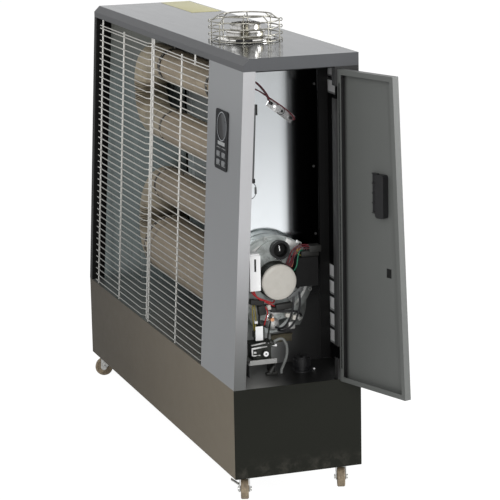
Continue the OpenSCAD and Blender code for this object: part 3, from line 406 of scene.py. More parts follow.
def outer_skin(name):
    """Rear sheet: black inside, paler grey on the pressed louvres that stand outside; the hoods seen
    through the bay are painted light, each with a painted shadow line across its top.
    """
    skin, x, y, z = begun(name)
    drift = skin.noise(9, 3, 0.6)
    tone = skin.mix(grey(9), grey(15), drift)
    pale = skin.mix(srgb(140, 141, 141), srgb(152, 153, 153), drift)
    tone = skin.mix(tone, pale, y.step(0.16405, 0.16440))
    hooded = (x > 0.425) * (x < 0.507) * (y > 0.1657)
    upper = z > 0.75
    rung = ((z - 0.327 * (1 - upper) - 0.963 * upper) / 0.042).frac()
    # Painted light on the hoods' faces seen through the bay.
    tone = skin.mix(tone, linear(0.72), hooded)
    # Painted shadow line across the top of each hood.
    tone = skin.mix(tone, linear(0.004), hooded * (rung > 0.72))
    return skin.surface(tone, 0.42 + 0.1 * drift, skin.peel(), Specular_IOR_Level=0.08)


def shelf_zinc(name):
    """Plated shelf over blackened legs."""
    plate, x, y, z = begun(name)
    bloom = plate.noise(45, 4, 0.65)
    tone = plate.mix(linear(0.03), (0.34, 0.34, 0.33), z.step(0.3160, 0.3175))
    tone = plate.mix(tone, (0.25, 0.25, 0.24), bloom.step(0.5, 0.8) * 0.4)
    return plate.surface(tone, 0.32 + 0.2 * bloom, plate.bump(bloom, 0.1, 0.0003), Metallic=0.7)


def moulded(name, low, high, rough, grain=700, depth=0.12, gleam=0.4):
    """Moulded plastic with a fine spark-eroded grain."""
    plastic = Finish(name)
    mottle = plastic.noise(60, 3, 0.5)
    pits = plastic.cells(grain)
    gloss = rough + 0.08 * mottle
    tone = plastic.mix(low, high, mottle)
    return plastic.surface(tone, gloss, plastic.bump(pits, depth, 0.0003), Specular_IOR_Level=gleam)


def zinc(name, colour=(0.58, 0.58, 0.56), rough=0.30):
    """Zinc plate: spangle cells, dull streaks and a trace of white bloom."""
    plate = Finish(name)
    spangle = plate.cells(180)
    bloom = plate.noise(45, 4, 0.65)
    tone = plate.mix(colour, tuple(c * 0.62 for c in colour), spangle.step(0.2, 0.7) * 0.5 + bloom * 0.3)
    height = plate.bump(spangle * 0.3 + bloom * 0.7, 0.12, 0.0003)
    return plate.surface(tone, rough + 0.22 * bloom, height, Metallic=0.9)


def heat_coat(name, light, dark, pleated=False):
    """Matt heat-resistant coat on the tubes: chalky mottle, burnished streaks, darker joints and painted
    shade growing towards the lower passes; on pleated bends, dirt and painted shade in the grooves.
    """
    coat, x, y, z = begun(name)
    chalk = coat.noise(26, 5, 0.62, warp=0.3)
    streak = coat.noise(14, 4, 0.6, coat.mapped(0.35, 3.0, 3.0))
    grain = coat.noise(900, 2, 0.5)
    body = coat.mix(dark, light, (chalk * 0.55 + streak * 0.45).step(0.25, 0.75))
    for at in TUBE_JOINTS:
        ring = 1 - abs(x - at).step(0.001, 0.012)
        body = coat.mix(body, (0.16, 0.13, 0.10), ring * (0.25 + 0.5 * chalk))
    warm = coat.mix(body, (0.42, 0.30, 0.20), streak.step(0.55, 0.85) * 0.35)
    # Painted shade: the coat darkens towards the lower passes.
    warm = coat.mix(warm, (0.02, 0.016, 0.011), 0.06 + 0.34 * (1 - z.step(0.62, 1.0)))
    if pleated:
        upper = z > 0.70
        (x0, z0), (x1, z1) = ((bend[0] * MM, bend[1] * MM) for bend in BENDS[:2])
        across = upper * x0 + (1 - upper) * x1
        level = upper * z0 + (1 - upper) * z1
        part = (across - x).heading(z - level) / math.pi
        # Dirt and painted shade in the pleat grooves, patchy along them.
        groove = 1 - abs((part * PLEATS).frac() - 0.5).step(0.10, 0.34)
        worn = coat.noise(45, 3, 0.6).step(0.25, 0.60)
        warm = coat.mix(warm, (0.05, 0.04, 0.028), groove * part.step(0.36, 0.44) * (0.35 + 0.55 * worn))
    gloss = 0.52 + 0.2 * chalk
    return coat.surface(warm, gloss, coat.bump(grain * 0.5 + chalk * 0.5, 0.16, 0.0006))


def cast_metal(name, light, dark, shade_y):
    """Pressure-cast alloy: sandy skin, cloudy stains, and painted shade in the low places towards the back
    of the bay.
    """
    cast, x, y, z = begun(name)
    sand = cast.noise(520, 3, 0.6)
    stain = cast.noise(22, 5, 0.65, warp=0.6)
    tone = cast.mix(light, dark, stain.step(0.42, 0.72))
    # Painted shade low down towards the back of the bay.
    bay_shade = y.step(shade_y, shade_y + 0.06) * (1 - z.step(0.54, 0.60))
    tone = cast.mix(tone, (0.04, 0.04, 0.038), bay_shade * 0.85)
    return cast.surface(tone, 0.38 + 0.25 * stain, cast.bump(sand, 0.22, 0.0005), Metallic=0.75)


def tread(name):
    """Dusty hard tyre round a plain centre."""
    rubber = Finish(name)
    dust = rubber.noise(70, 5, 0.7)
    grain = rubber.noise(900, 2, 0.5)
    tone = rubber.mix(srgb(96, 84, 68), srgb(140, 126, 104), dust.step(0.3, 0.75))
    return rubber.surface(tone, 0.6 + 0.2 * dust, rubber.bump(grain * 0.4 + dust * 0.6, 0.2, 0.0006))


finish = {
    "charcoal": powder_coat("charcoal powder coat", srgb(42, 36, 24), srgb(106, 98, 84), 0.42, 0.10,
                            (0.07, 0.12), 0.12, True),
    "dark_inside": powder_coat("black inner paint", grey(14), grey(20), 0.45, gleam=0.15),
    "end_black": powder_coat("black end paint", grey(12), srgb(18, 18, 17), 0.42, gleam=0.12),
    "deck": deck_sheet("deck sheet"),
    "band": clamp_band("clamp bands"),
    "cover": glossy_cover("grey cover paint", srgb(70, 71, 73), srgb(78, 79, 81)),
    "inner": brushed_sheet("inner sheet", linear(0.13), 0.26, (3, 0.3, 3), 0.8, 0.3, linear(0.09)),
    "post": powder_coat("post paint", grey(38), grey(46), 0.4, gleam=0.2),
    "door": door_coat("door paint"),
    "reflector": reflector_sheet("reflector sheet"),
    "shield": bright_liner("polished shield"),
    "zinc": zinc("zinc plate"),
    "bright": zinc("bright plate", (0.33, 0.32, 0.28), 0.16),
    "chrome": flue_chrome("bright collar"),
    "throat": zinc("bright steel", linear(0.78), 0.16),
    "wire": coated_wire("pale coated wire"),
    "cast": cast_metal("cast alloy", (0.44, 0.47, 0.46), (0.20, 0.21, 0.20), 0.030),
    "cast_pale": cast_metal("pale cast alloy", (0.62, 0.62, 0.61), (0.36, 0.36, 0.34), 0.060),
    "rear": outer_skin("rear skin"),
    "shelf": shelf_zinc("plated shelf"),
    "copper": brushed_sheet("copper pipe", (0.62, 0.31, 0.17), 0.28, (3, 3, 0.3), 1.0, 0.5,
                            (0.34, 0.18, 0.11)),
    "scorched": heat_coat("scorched plate", srgb(112, 106, 80), srgb(66, 60, 46)),
    "plate": powder_coat("pale plate", srgb(196, 190, 136), srgb(206, 201, 148), 0.32),
    "tube": heat_coat("heat coat", srgb(176, 162, 140), srgb(140, 127, 108)),
    "bend": heat_coat("bend heat coat", srgb(186, 176, 154), srgb(146, 135, 115), True),
    "tread": tread("dusty tread"),
}

# Mouldings: two tones, roughness, and where they differ the grain, its depth and the gleam

MOULDED = {
    "sensor": ((70, 72, 72), (92, 94, 94), 0.4),
    "strap": ((26, 26, 25), (40, 40, 38), 0.45, 700, 0.12, 0.3),
    "motor": ((24, 26, 22), (36, 38, 33), 0.42, 400, 0.2, 0.3),
    "black": ((18, 18, 19), (28, 28, 29), 0.40, 700, 0.12, 0.3),
    "matt_black": ((12, 12, 12), (20, 20, 20), 0.62, 500, 0.2, 0.15),
    "cream": ((174, 170, 162), (190, 187, 180), 0.45),
    "white": ((244, 244, 244), (250, 250, 250), 0.35),
    "key": ((92, 94, 96), (108, 110, 112), 0.42),
    "hose": ((96, 98, 96), (120, 122, 120), 0.40, 300, 0.2),
    "wine": ((74, 14, 24), (98, 24, 34), 0.45, 300, 0.1),
    "plum": ((58, 32, 40), (80, 48, 52), 0.45, 300, 0.1),
    "scarlet": ((150, 20, 26), (186, 36, 40), 0.42, 300, 0.1),
    "coral": ((176, 92, 70), (200, 120, 96), 0.45, 300, 0.1),
    "leaf": ((20, 84, 62), (36, 106, 80), 0.45, 300, 0.1),
    "sand": ((124, 112, 40), (150, 138, 62), 0.45, 300, 0.1),
    "black_lead": ((16, 16, 18), (30, 30, 33), 0.35, 300, 0.1),
}
for look, (low, high, *rest) in MOULDED.items():
    finish[look] = moulded(look + " moulding", srgb(*low), srgb(*high), *rest)


def bezel_finish():
    """Dark printed front: a ring round the display, two lamps, a label row and rows of marks."""
    face = Finish("printed bezel")
    place = face.value("ShaderNodeVectorMath", 0, {"operation": "SUBTRACT"},
                       {0: face.place, 1: tuple(FRONT_AXES @ Vector((PANEL_X * MM, 0, 0.589)))})
    inputs = {"Vector": place, "Angle": LEAN_ANGLE}
    upright = face.value("ShaderNodeVectorRotate", 0, {"rotation_type": "X_AXIS"}, inputs)
    x, y, z = face.axes(upright)
    grain = face.cells(900)
    tone = face.mix(srgb(26, 27, 29), srgb(34, 35, 37), face.noise(40, 3, 0.5))
    side = x.step(0.038, 0.044)
    tone = face.mix(tone, srgb(18, 19, 20), side)
    radius = (x * x + (z - 0.033) * (z - 0.033)).root()
    ring = radius.step(0.0325, 0.0333) * (1 - radius.step(0.0352, 0.0360))
    tone = face.mix(tone, srgb(150, 153, 156), ring * 0.8)
    label = (abs(x) < 0.026) * (abs(z + 0.0085) < 0.0045)
    tone = face.mix(tone, srgb(176, 178, 178), label * 0.85)
    wave = (x * 900).sine() * (z * 2600).sine()
    tone = face.mix(tone, srgb(90, 92, 94), label * wave.step(0.2, 0.5))
    cell = ((z + 0.08) * 95).frac()
    row = (cell > 0.60) * (cell < 0.86) * (z < -0.0165) * (z > -0.066)
    column = abs(abs(x) - 0.019) < 0.0135
    marks = row * column * face.noise(420, 1, 0.5).step(0.44, 0.54)
    tone = face.mix(tone, srgb(158, 160, 160), marks * 0.75)
    gloss = 0.62 + 0.06 * grain
    return face.surface(tone, gloss, face.bump(grain, 0.06, 0.0002), Specular_IOR_Level=0.10)


def display_finish():
    """Smoked window with a dark crescent."""
    glass, x, y, z = begun("smoked display")
    sweep = glass.noise(30, 2, 0.4)
    crescent = ((x - 0.512) * 22 + (z - 0.905) * 9).step(0.0, 0.45)
    tone = glass.mix(srgb(16, 17, 19), srgb(58, 60, 63), crescent)
    return glass.surface(tone, 0.30 + 0.05 * sweep, Specular_IOR_Level=0.10)


def panel_finish():
    """Silver-grey front sheet, lightened near the top by a painted reflection, with the strip turned round
    the cabinet's end painted lighter and carrying a painted reflection from dark at the bottom to light at
    the top.
    """
    sheet, x, y, z = begun("silver front sheet")
    flake = sheet.noise(1500, 1, 0.5)
    drift = sheet.noise(4, 3, 0.55)
    front = sheet.mix(srgb(116, 118, 120), srgb(128, 130, 132), drift * 0.7 + flake * 0.3)
    # Painted reflection: the front lightens near the top.
    front = sheet.mix(front, srgb(137, 139, 141), z.step(0.86, 1.02))
    # Painted reflection on the strip, dark low down and light high up.
    strip = sheet.mix(srgb(86, 87, 86), srgb(172, 172, 174), z.step(0.26, 0.74))
    # Painted light: the strip, the same sheet turned round the end, is lighter than the front.
    tone = sheet.mix(front, strip, x.step(0.6583, 0.6589))
    peel = sheet.noise(700, 2, 0.4)
    return sheet.surface(tone, 0.34 + 0.06 * drift, sheet.bump(peel, 0.06, 0.0004), Metallic=0.55)


finish["bezel"] = bezel_finish()
finish["display"] = display_finish()
finish["panel"] = panel_finish()

NODE_FINISH = {
    "charcoal": "base_skirt base_pan", "end_black": "left_end_panel",
    "dark_inside": "ceiling_plate fuel_tank bay_partition", "deck": "deck_plate",
    "cover": "top_cover", "post": "hinge_post", "rear": "rear_panel", "shelf": "pump_bracket",
    "door": "door_pan", "panel": "front_panel", "reflector": "reflectors", "shield": "heat_shield",
    "tube": "combustion_chamber emitter_tubes flue_elbow", "bend": "emitter_bends",
    "throat": "overheat_switch", "band": "tube_hangers", "bright": "flue_guard",
    "chrome": "flue_spigot", "wire": "guard_left guard_right",
    "zinc": "caster_plates hinge_leaves brake_pedal_left brake_pedal_right",
    "cast": "burner_head blower_scroll blower_wheel", "motor": "fan_motor solenoid_coil fuel_pump",
    "black": "fuel_cap filler_neck air_intake cable_gland door_grip",
    "matt_black": "ignition_transformer", "cream": "motor_cap", "white": "flame_control_box",
    "sensor": "room_sensor", "key": "key_1 key_2 key_3 key_4", "hose": "fuel_hose wiring",
    "bezel": "control_bezel", "display": "display_window", "tread": "",
}
for corner in CASTERS:
    NODE_FINISH["zinc"] += " fork_" + corner
    NODE_FINISH["tread"] += " wheel_" + corner
for look, names in NODE_FINISH.items():
    for name in names.split():
        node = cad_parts[name]
        node.data.materials.clear()
        node.data.materials.append(finish[look])


# Drawing

class Shape:
    """Solids gathered into one mesh, drawn in millimetres."""

    def __init__(self):
        self.bm = bmesh.new()
        self.axes = Matrix()
        self.smooth = 35

    def block(self, centre, size, edge=0.0, tilt=0.0):
        """A box with rounded edges, tilted about X by degrees."""
        axes = Matrix.Translation(centre) @ turned(tilt) @ Matrix.Diagonal((*size, 1))
        verts = bmesh.ops.create_cube(self.bm, size=1, matrix=axes)["verts"]
        if edge:
            edges = list({e for v in verts for e in v.link_edges})
            bmesh.ops.bevel(self.bm, geom=edges, offset=edge, segments=3, profile=0.5, affect="EDGES")

    def rod(self, start, end, radius, sides=20, tip=None):
        """A rod from start to end; tip is its radius at the end where it tapers."""
        span = Vector(end) - Vector(start)
        middle = Matrix.Translation((Vector(start) + Vector(end)) / 2)
        axes = middle @ span.to_track_quat("Z", "Y").to_matrix().to_4x4()
        bmesh.ops.create_cone(self.bm, cap_ends=True, segments=sides, radius1=radius,
                              radius2=radius if tip is None else tip, depth=span.length, matrix=axes)

    def lathe(self, profile, centre, axis, sides=40):
        """Closed profile of (radius, height) pairs turned about an axis through centre."""
        axes = Matrix.Translation(centre) @ Vector(axis).to_track_quat("Z", "Y").to_matrix().to_4x4()
        turns = [math.tau * i / sides for i in range(sides)]
        self.skin([[axes @ Vector((r * math.cos(a), r * math.sin(a), h)) for r, h in profile]
                   for a in turns])

    def tube(self, points, radius, rounds=3):
        """A wire or hose of round section along a smooth curve."""
        curve = bpy.data.curves.new("path", "CURVE")
        curve.dimensions = "3D"
        curve.bevel_depth = radius
        curve.bevel_resolution = rounds
        curve.resolution_u = 6
        curve.use_fill_caps = True
        spline = curve.splines.new("NURBS")
        spline.points.add(len(points) - 1)
        for spot, at in zip(spline.points, points):
            spot.co = (*at, 1)
        spline.use_endpoint_u = True
        spline.order_u = min(4, len(points))
        mesh = evaluated(linked("path", curve))
        self.bm.from_mesh(mesh)
        bpy.data.meshes.remove(mesh)

    def skin(self, rings, closed=True):
        """Rings of points joined in order; a closed skin joins the last ring to the first."""
        rows = [[self.bm.verts.new(at) for at in ring] for ring in rings]
        count = len(rows)
        for i in range(count if closed else count - 1):
            here, there = rows[i], rows[(i + 1) % count]
            for k in range(len(here)):
                self.bm.faces.new((here[k - 1], here[k], there[k], there[k - 1]))
        if not closed:
            self.bm.faces.new(rows[0])
            self.bm.faces.new(rows[-1][::-1])

    def finished(self, name):
        bmesh.ops.remove_doubles(self.bm, verts=self.bm.verts, dist=0.001)
        bmesh.ops.recalc_face_normals(self.bm, faces=self.bm.faces)
        bmesh.ops.transform(self.bm, matrix=self.axes @ Matrix.Scale(MM, 4), verts=self.bm.verts)
        mesh = bpy.data.meshes.new(name)
        self.bm.to_mesh(mesh)
        self.bm.free()
        mesh.polygons.foreach_set("use_smooth", [True] * len(mesh.polygons))
        mesh.set_sharp_from_angle(angle=math.radians(self.smooth))
        return mesh


def evaluated(holder):
    """The mesh that an object ends up with; the object itself goes."""
    holder.update_tag()
    mesh = bpy.data.meshes.new_from_object(holder.evaluated_get(bpy.context.evaluated_depsgraph_get()))
    bpy.data.objects.remove(holder)
    return mesh


class Rule:
    """A geometry tree with named sizes, run once on seed points and kept as a plain mesh."""

    def __init__(self, name, **sizes):
        self.tree = bpy.data.node_groups.new(name, "GeometryNodeTree")
        socket = self.tree.interface.new_socket
        socket("Geometry", in_out="INPUT", socket_type="NodeSocketGeometry")
        self.keys = {}
        for label, size in sizes.items():
            made = socket(label, in_out="INPUT", socket_type="NodeSocketFloat")
            made.default_value = size
            self.keys[label] = made.identifier
        socket("Geometry", in_out="OUTPUT", socket_type="NodeSocketGeometry")
        self.entry = self.tree.nodes.new("NodeGroupInput").outputs

    def add(self, kind, settings=None, inputs=None):
        return new_node(self.tree, kind, settings, inputs).outputs[0]

    def share(self, label, factor):
        return self.add("ShaderNodeMath", {"operation": "MULTIPLY"}, {0: self.entry[label], 1: factor})

    def drum(self, sides, wide=1.0, deep=1.0):
        """A cylinder as wide and deep as these shares of the rule's own radius and height."""
        inputs = {"Vertices": sides, "Radius": self.share("Radius", wide),
                  "Depth": self.share("Height", deep)}
        return self.add("GeometryNodeMeshCylinder", None, inputs)

    def close(self, look, *parts, scale=(1, 1, 1)):
        """Set the joined parts on every seed, their Z along its direction, and give them a finish."""
        joined = self.tree.nodes.new("GeometryNodeJoinGeometry")
        for part in parts:
            self.tree.links.new(part, joined.inputs[0])
        facing = self.add("GeometryNodeInputNamedAttribute", {"data_type": "FLOAT_VECTOR"},
                          {"Name": "facing"})
        turn = self.add("FunctionNodeAlignRotationToVector", {"axis": "Z"}, {"Vector": facing})
        inputs = {"Points": self.entry[0], "Instance": joined.outputs[0], "Rotation": turn, "Scale": scale}
        placed = self.add("GeometryNodeInstanceOnPoints", None, inputs)
        real = self.add("GeometryNodeRealizeInstances", None, {0: placed})
        inputs = {"Geometry": real, "Material": finish[look]}
        done = self.add("GeometryNodeSetMaterial", None, inputs)
        new_node(self.tree, "NodeGroupOutput", None, {0: done})
        return self

    def run(self, name, seeds, **sizes):
        """Grow the rule on seeds, which are (place, direction) pairs in millimetres."""
        mesh = bpy.data.meshes.new(name)
        mesh.from_pydata([Vector(place) * MM for place, toward in seeds], [], [])
        facing = mesh.attributes.new("facing", "FLOAT_VECTOR", "POINT")
        for spot, (place, toward) in zip(facing.data, seeds):
            spot.vector = Vector(toward).normalized()
        holder = linked(name, mesh)
        grown = holder.modifiers.new("rule", "NODES")
        grown.node_group = self.tree
        for label, size in sizes.items():
            grown[self.keys[label]] = size
        return evaluated(holder)


def screw_rule(look):
    """Pan head with a small hexagon, over a washer face."""
    rule = Rule("pan head screw", Radius=0.0035, Height=0.0022)
    inputs = {"Vertices": 20, "Radius Top": rule.share("Radius", 0.62),
              "Radius Bottom": rule.entry["Radius"], "Depth": rule.entry["Height"]}
    head = rule.add("GeometryNodeMeshCone", None, inputs)
    return rule.close(look, head, rule.drum(20, 1.25, 0.3), rule.drum(6, 0.42, 2.06))


def nugget_rule():
    """Flattened weld nugget where two wires cross."""
    rule = Rule("weld nugget", Radius=0.0022)
    inputs = {"Radius": rule.entry["Radius"], "Subdivisions": 2}
    return rule.close("wire", rule.add("GeometryNodeMeshIcoSphere", None, inputs), scale=(1, 1, 0.7))


def hex_rule():
    """Flanged hexagon bolt."""
    rule = Rule("hexagon bolt", Radius=0.005, Height=0.004)
    return rule.close("zinc", rule.drum(6), rule.drum(24, 1.35, 0.35))


def piece(name, mesh, look, body):
    made = linked(name, mesh)
    if look:
        mesh.materials.clear()
        mesh.materials.append(finish[look])
    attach(made, body)
    return made


# Places, in millimetres

def on_front(x, y, z):
    """Point on the leaning front: x across, y behind its surface, z up the slope."""
    return (FRONT_AXES @ (Vector((x, y, z)) * MM)) / MM


def at_switch(x, y, z):
    """Point on the overheat switch's plate, y along it."""
    return SWITCH + turned(SWITCH_TILT, "X", 3) @ Vector((x, y, z))


def behind_panel(x, z, depth):
    """Point behind the control panel, z above the deck."""
    return Vector((PANEL_X + x, z * LEAN - HALF_D + 18.4 + depth, DECK + z))


def around(radius, thick, sides):
    """Round section of a ring, as (radius, height) pairs."""
    angles = [math.tau * k / sides for k in range(sides)]
    return [(radius + thick * math.cos(a), thick * math.sin(a)) for a in angles]


# Emitter

BANDS = ((-262, 0), (-262, 1), (-325, 2), (232, 0), (310, 1), (310, 2), (-322, 3), (440, 3))
SEAMS = ((-268, 236), (-268, 314), (-330, 314), (-330, 450))


def bend_ring(x, z, side, part, shift, radius, fold):
    """Ring round a bend at a part of its way; its pleats grow from the middle on."""
    angle = math.radians(90 + 180 * part)
    whole = min(1, max(0, (part - 0.36) / 0.08))
    ring = []
    for k in range(40):
        turn = math.tau * k / 40
        inner = max(0, -math.cos(turn)) ** 1.2
        q = radius - fold ** 1.2 * (4.2 * whole + (2 + 4 * whole) * inner)
        reach = BEND_R + q * math.cos(turn)
        ring.append((x + side * (shift + reach * math.cos(angle)), EMITTER_Y + q * math.sin(turn),
                     z + reach * math.sin(angle)))
    return ring


def bend_returns(shape):
    """Left returns with narrow pressed pleats, deepest on the inner side, and a plain right return."""
    shape.smooth = 50
    for x, z, start, end, leg, pleats, side in BENDS:
        steps = pleats * 6 or 36
        spans = [(i / steps, 0) for i in range(steps + 1)]
        if leg:
            spans = [(0.0, leg), *spans, (1.0, leg)]
        shells = []
        for wall in (0, TUBE_WALL):
            shell = []
            for part, shift in spans:
                fold = 0 if shift else 0.5 - 0.5 * math.cos(math.tau * pleats * part)
                radius = start + (end - start) * part - wall
                shell.append(bend_ring(x, z, side, part, shift, radius, fold))
            shells.append(shell)
        shape.skin(shells[0] + shells[1][::-1])


def tube_bands(shape):
    """Rolled clamp bands and lock seams along the emitter tubes."""
    for x, row in BANDS:
        radius = PASS_R[row]
        profile = [(radius + 0.1, -1.4), (radius + 2.0, -0.7), (radius + 2.0, 0.7), (radius + 0.1, 1.4)]
        for shift in (-5.5, 0, 5.5):
            shape.lathe(profile, (x + shift, EMITTER_Y, PASSES[row]), ALONG_X, 48)
    for z, radius, (x0, x1) in zip(PASSES, PASS_R, SEAMS):
        out = radius + 0.6
        centre = ((x0 + x1) / 2, EMITTER_Y + out * 0.5, z + out * 0.866)
        shape.block(centre, (x1 - x0, 5, 1.4), 0.5, -30)


# Guard and flue

WIRE_ROWS = [9 + 17.5 * i for i in range(43)] + [752]
ROD_COLUMNS = [(-582, 3.5), (-365, 3.5), (-117, 10.2), (167, 3.5), (-79, 3.5), (400.2, 10.2)]
CAGE_RODS = ((288.4, -80.3), (343.6, 80.3), (236, 27), (396, -27))


def cage_eyes(shape):
    """Hooked ends of the cage's rings, closed round its uprights."""
    for x, y in CAGE_RODS:
        outward = Vector((x - FLUE.x, y, 0)).normalized()
        for z in (1089, 1104, 1121, 1137):
            axis = (outward.y, -outward.x, 0.25)
            shape.lathe(around(3.6, 1.2, 8), Vector((x, y, z)) + outward * 3.4, axis, 18)


def collar_lip(shape):
    """Rolled bead at the collar's lip."""
    shape.lathe([(38.9, 41.5), (40.4, 41.8), (40.9, 42.8), (40.4, 43.8), (38.9, 44)], FLUE, UP, 64)


def flange_dark_ring(shape):
    """Dark ring under the collar's flange, with a stretch that stands up at its front right."""
    shape.lathe([(60, 0), (71.6, 0), (71.6, 1.8), (60, 1.8)], FLUE, UP, 64)
    arc = []
    for i in range(17):
        angle = math.radians(-39 + 34 * i / 16)
        arc.append([FLUE + Vector((r * math.cos(angle), r * math.sin(angle), z))
                    for r, z in ((70.2, 1.2), (71.3, 1.2), (71.3, 9.5), (70.2, 9.5))])
    shape.skin(arc, closed=False)


# Burner bay

def burner_lugs(shape):
    """Clamps, cleanout boss, rolled rim and bolt lugs of the burner's castings."""
    shape.block((513.6, 40, 603.5), (5.2, 33, 15), 1.2, -29)
    shape.block((508, 61, 600), (7, 16, 13), 2, -29)
    shape.block((484, 42, 393), (46, 18, 20), 2.5)
    shape.block((481, 62, 412), (44, 14, 22), 3, 40)
    boss = [(0.01, 0), (15, 0), (17, 3), (17.5, 9), (15, 17), (9, 22), (0.01, 23)]
    shape.lathe(boss, (500, -10, 403), ALONG_X, 36)
    shape.lathe([(86, 0), (92, 0), (92, 1.2), (86, 1.2)], (510.6, BLOWER_Y, BLOWER_Z), ALONG_X, 80)
    for angle in (20, *range(100, 380, 40)):
        lug = Vector((0, BLOWER_Y, BLOWER_Z)) + turned(angle, "X", 3) @ Vector((0, 103, 0))
        shape.rod(lug + Vector((504, 0, 0)), lug + Vector((512.4, 0, 0)), 4.2, 18)


def retaining_strap(shape):
    """Strap and its two pins across the back of the motor."""
    shape.block((553, 36, 484), (3, 44, 12.5), 0.8, 36)
    shape.block((551, 21, 476), (8, 7, 9), 1, 36)
    for y, z in ((50, 494), (21.5, 473.5)):
        shape.rod((510, y, z), (551, y, z), 3, 14)


def dark_fittings(shape):
    """Black terminal blocks, plug housings and the valve by the hose."""
    shape.block((533, 92, 591), (28, 31, 17), 1.5)
    shape.block((533, 80, 579), (18, 46, 14), 1)
    shape.block((546, -64, 471), (17, 36, 13), 1.5, -10)
    shape.block((545, -51, 450), (16, 19, 24), 2, 8)
    shape.block((543, -10, 447), (18, 34, 13), 2, -6)
    shape.block((556, -31, 290), (13, 30, 7), 1.5)
    shape.rod((556, -34, 292), (556, -24, 308), 8, 20, 3.6)
    shape.block((550.3, -67, 564), (1.8, 4.4, 31), 0.5)
    shape.block((548, 6, 455), (16, 46, 17), 4, 4)


def plug_bodies(shape):
    """Pale plugs on the leads under the motor."""
    shape.block((545, 17, 430.5), (12, 12, 10), 1.2, -8)
    shape.block((545, 35, 423), (12, 11, 12), 1.2, -14)
    shape.block((549, -33, 456), (9, 9, 12), 1.2, 12)


def pale_fittings(shape):
    """The coil's bare plate, clips and screw faces."""
    shape.block((541.4, -56.4, 390), (1.0, 19.6, 36), 0.3)
    shape.block((550, 83, 288), (4, 4, 3), 0.6)
    shape.block((547, -67, 421), (9, 8, 6), 1)
    shape.block((532, -67, 590), (33, 25, 4.5), 1.4)
    shape.lathe([(2.4, 0), (6.6, 0), (6.6, 1.4), (5.6, 2.2), (2.4, 2.2)], (565, -48, 343), ALONG_X, 28)


def pump_frame(shape):
    """Bright clamp and gasket edges on the pump's dark face."""
    shape.block((558.6, -63, 359), (3, 41, 4.6), 0.6, 5.7)
    shape.block((558.6, -81.5, 348), (3, 4, 18), 0.6)
    shape.block((558.6, -70, 339.4), (3, 19, 2.8), 0.6)
    shape.block((558, -74, 347), (2, 7, 5), 0.5)
    shape.block((560, -66, 368.4), (6, 38, 2.4), 0.5, 5.7)


def cap_ring(shape):
    """Low pressed ring on the motor's cap."""
    profile = [(33.5, -0.3), (34.4, 0.5), (35.6, 0.5), (36.5, -0.3)]
    shape.lathe(profile, (558, BLOWER_Y, BLOWER_Z), ALONG_X, 64)


def intake_bore(shape):
    """Black funnel inside the air intake: painted shade filling its bore."""
    profile = [(0.01, 4), (17.8, 4), (17.8, 19), (17.2, 19), (16.6, 5.2), (0.01, 5.2)]
    shape.lathe(profile, (512, 5.5, 593), ALONG_X, 40)


def bright_fittings(shape):
    """Hose union, clip by the air intake, ring on the fuel pipe, and a bright block standing for a painted
    highlight deep in the intake's throat.
    """
    shape.rod((556, -34, 364.5), (556, -18.5, 360.5), 5.4, 6)
    shape.rod((556, -41, 366), (556, -17, 360), 3.4, 16)
    shape.block((519, 4, 566.5), (4, 22, 3.2), 1, -26)
    shape.lathe(around(8, 1.5, 10), (545, -28, 430), (1, 0.2, 0.1), 30)
    # Painted highlight: a bright block where a glint shows deep in the intake.
    shape.block((517.5, 8.5, 594), (1.6, 3.6, 15), 0.7, 8)


def oil_line(shape):
    """Pipe from the valve to the atomising tube."""
    shape.tube([(540, -34, 366), (540, -34, 378), (541, -31, 396), (545, -29, 414), (549, -28, 427),
                (545, -27, 437), (534, -24, 434), (522, -18, 420), (515, -14, 408)], 2.2, 4)


def copper_nut(shape):
    """Nut on the bend of the oil line."""
    shape.rod((543, -26, 425), (555, -26, 425), 5.2, 6)


def flame_plate(shape):
    """Discoloured plate with a folded edge under the burner's head."""
    shape.block((461.4, 30, 352), (3.6, 54, 21), 0.6)
    shape.block((466, 30, 361.6), (11, 54, 1.8), 0.5)


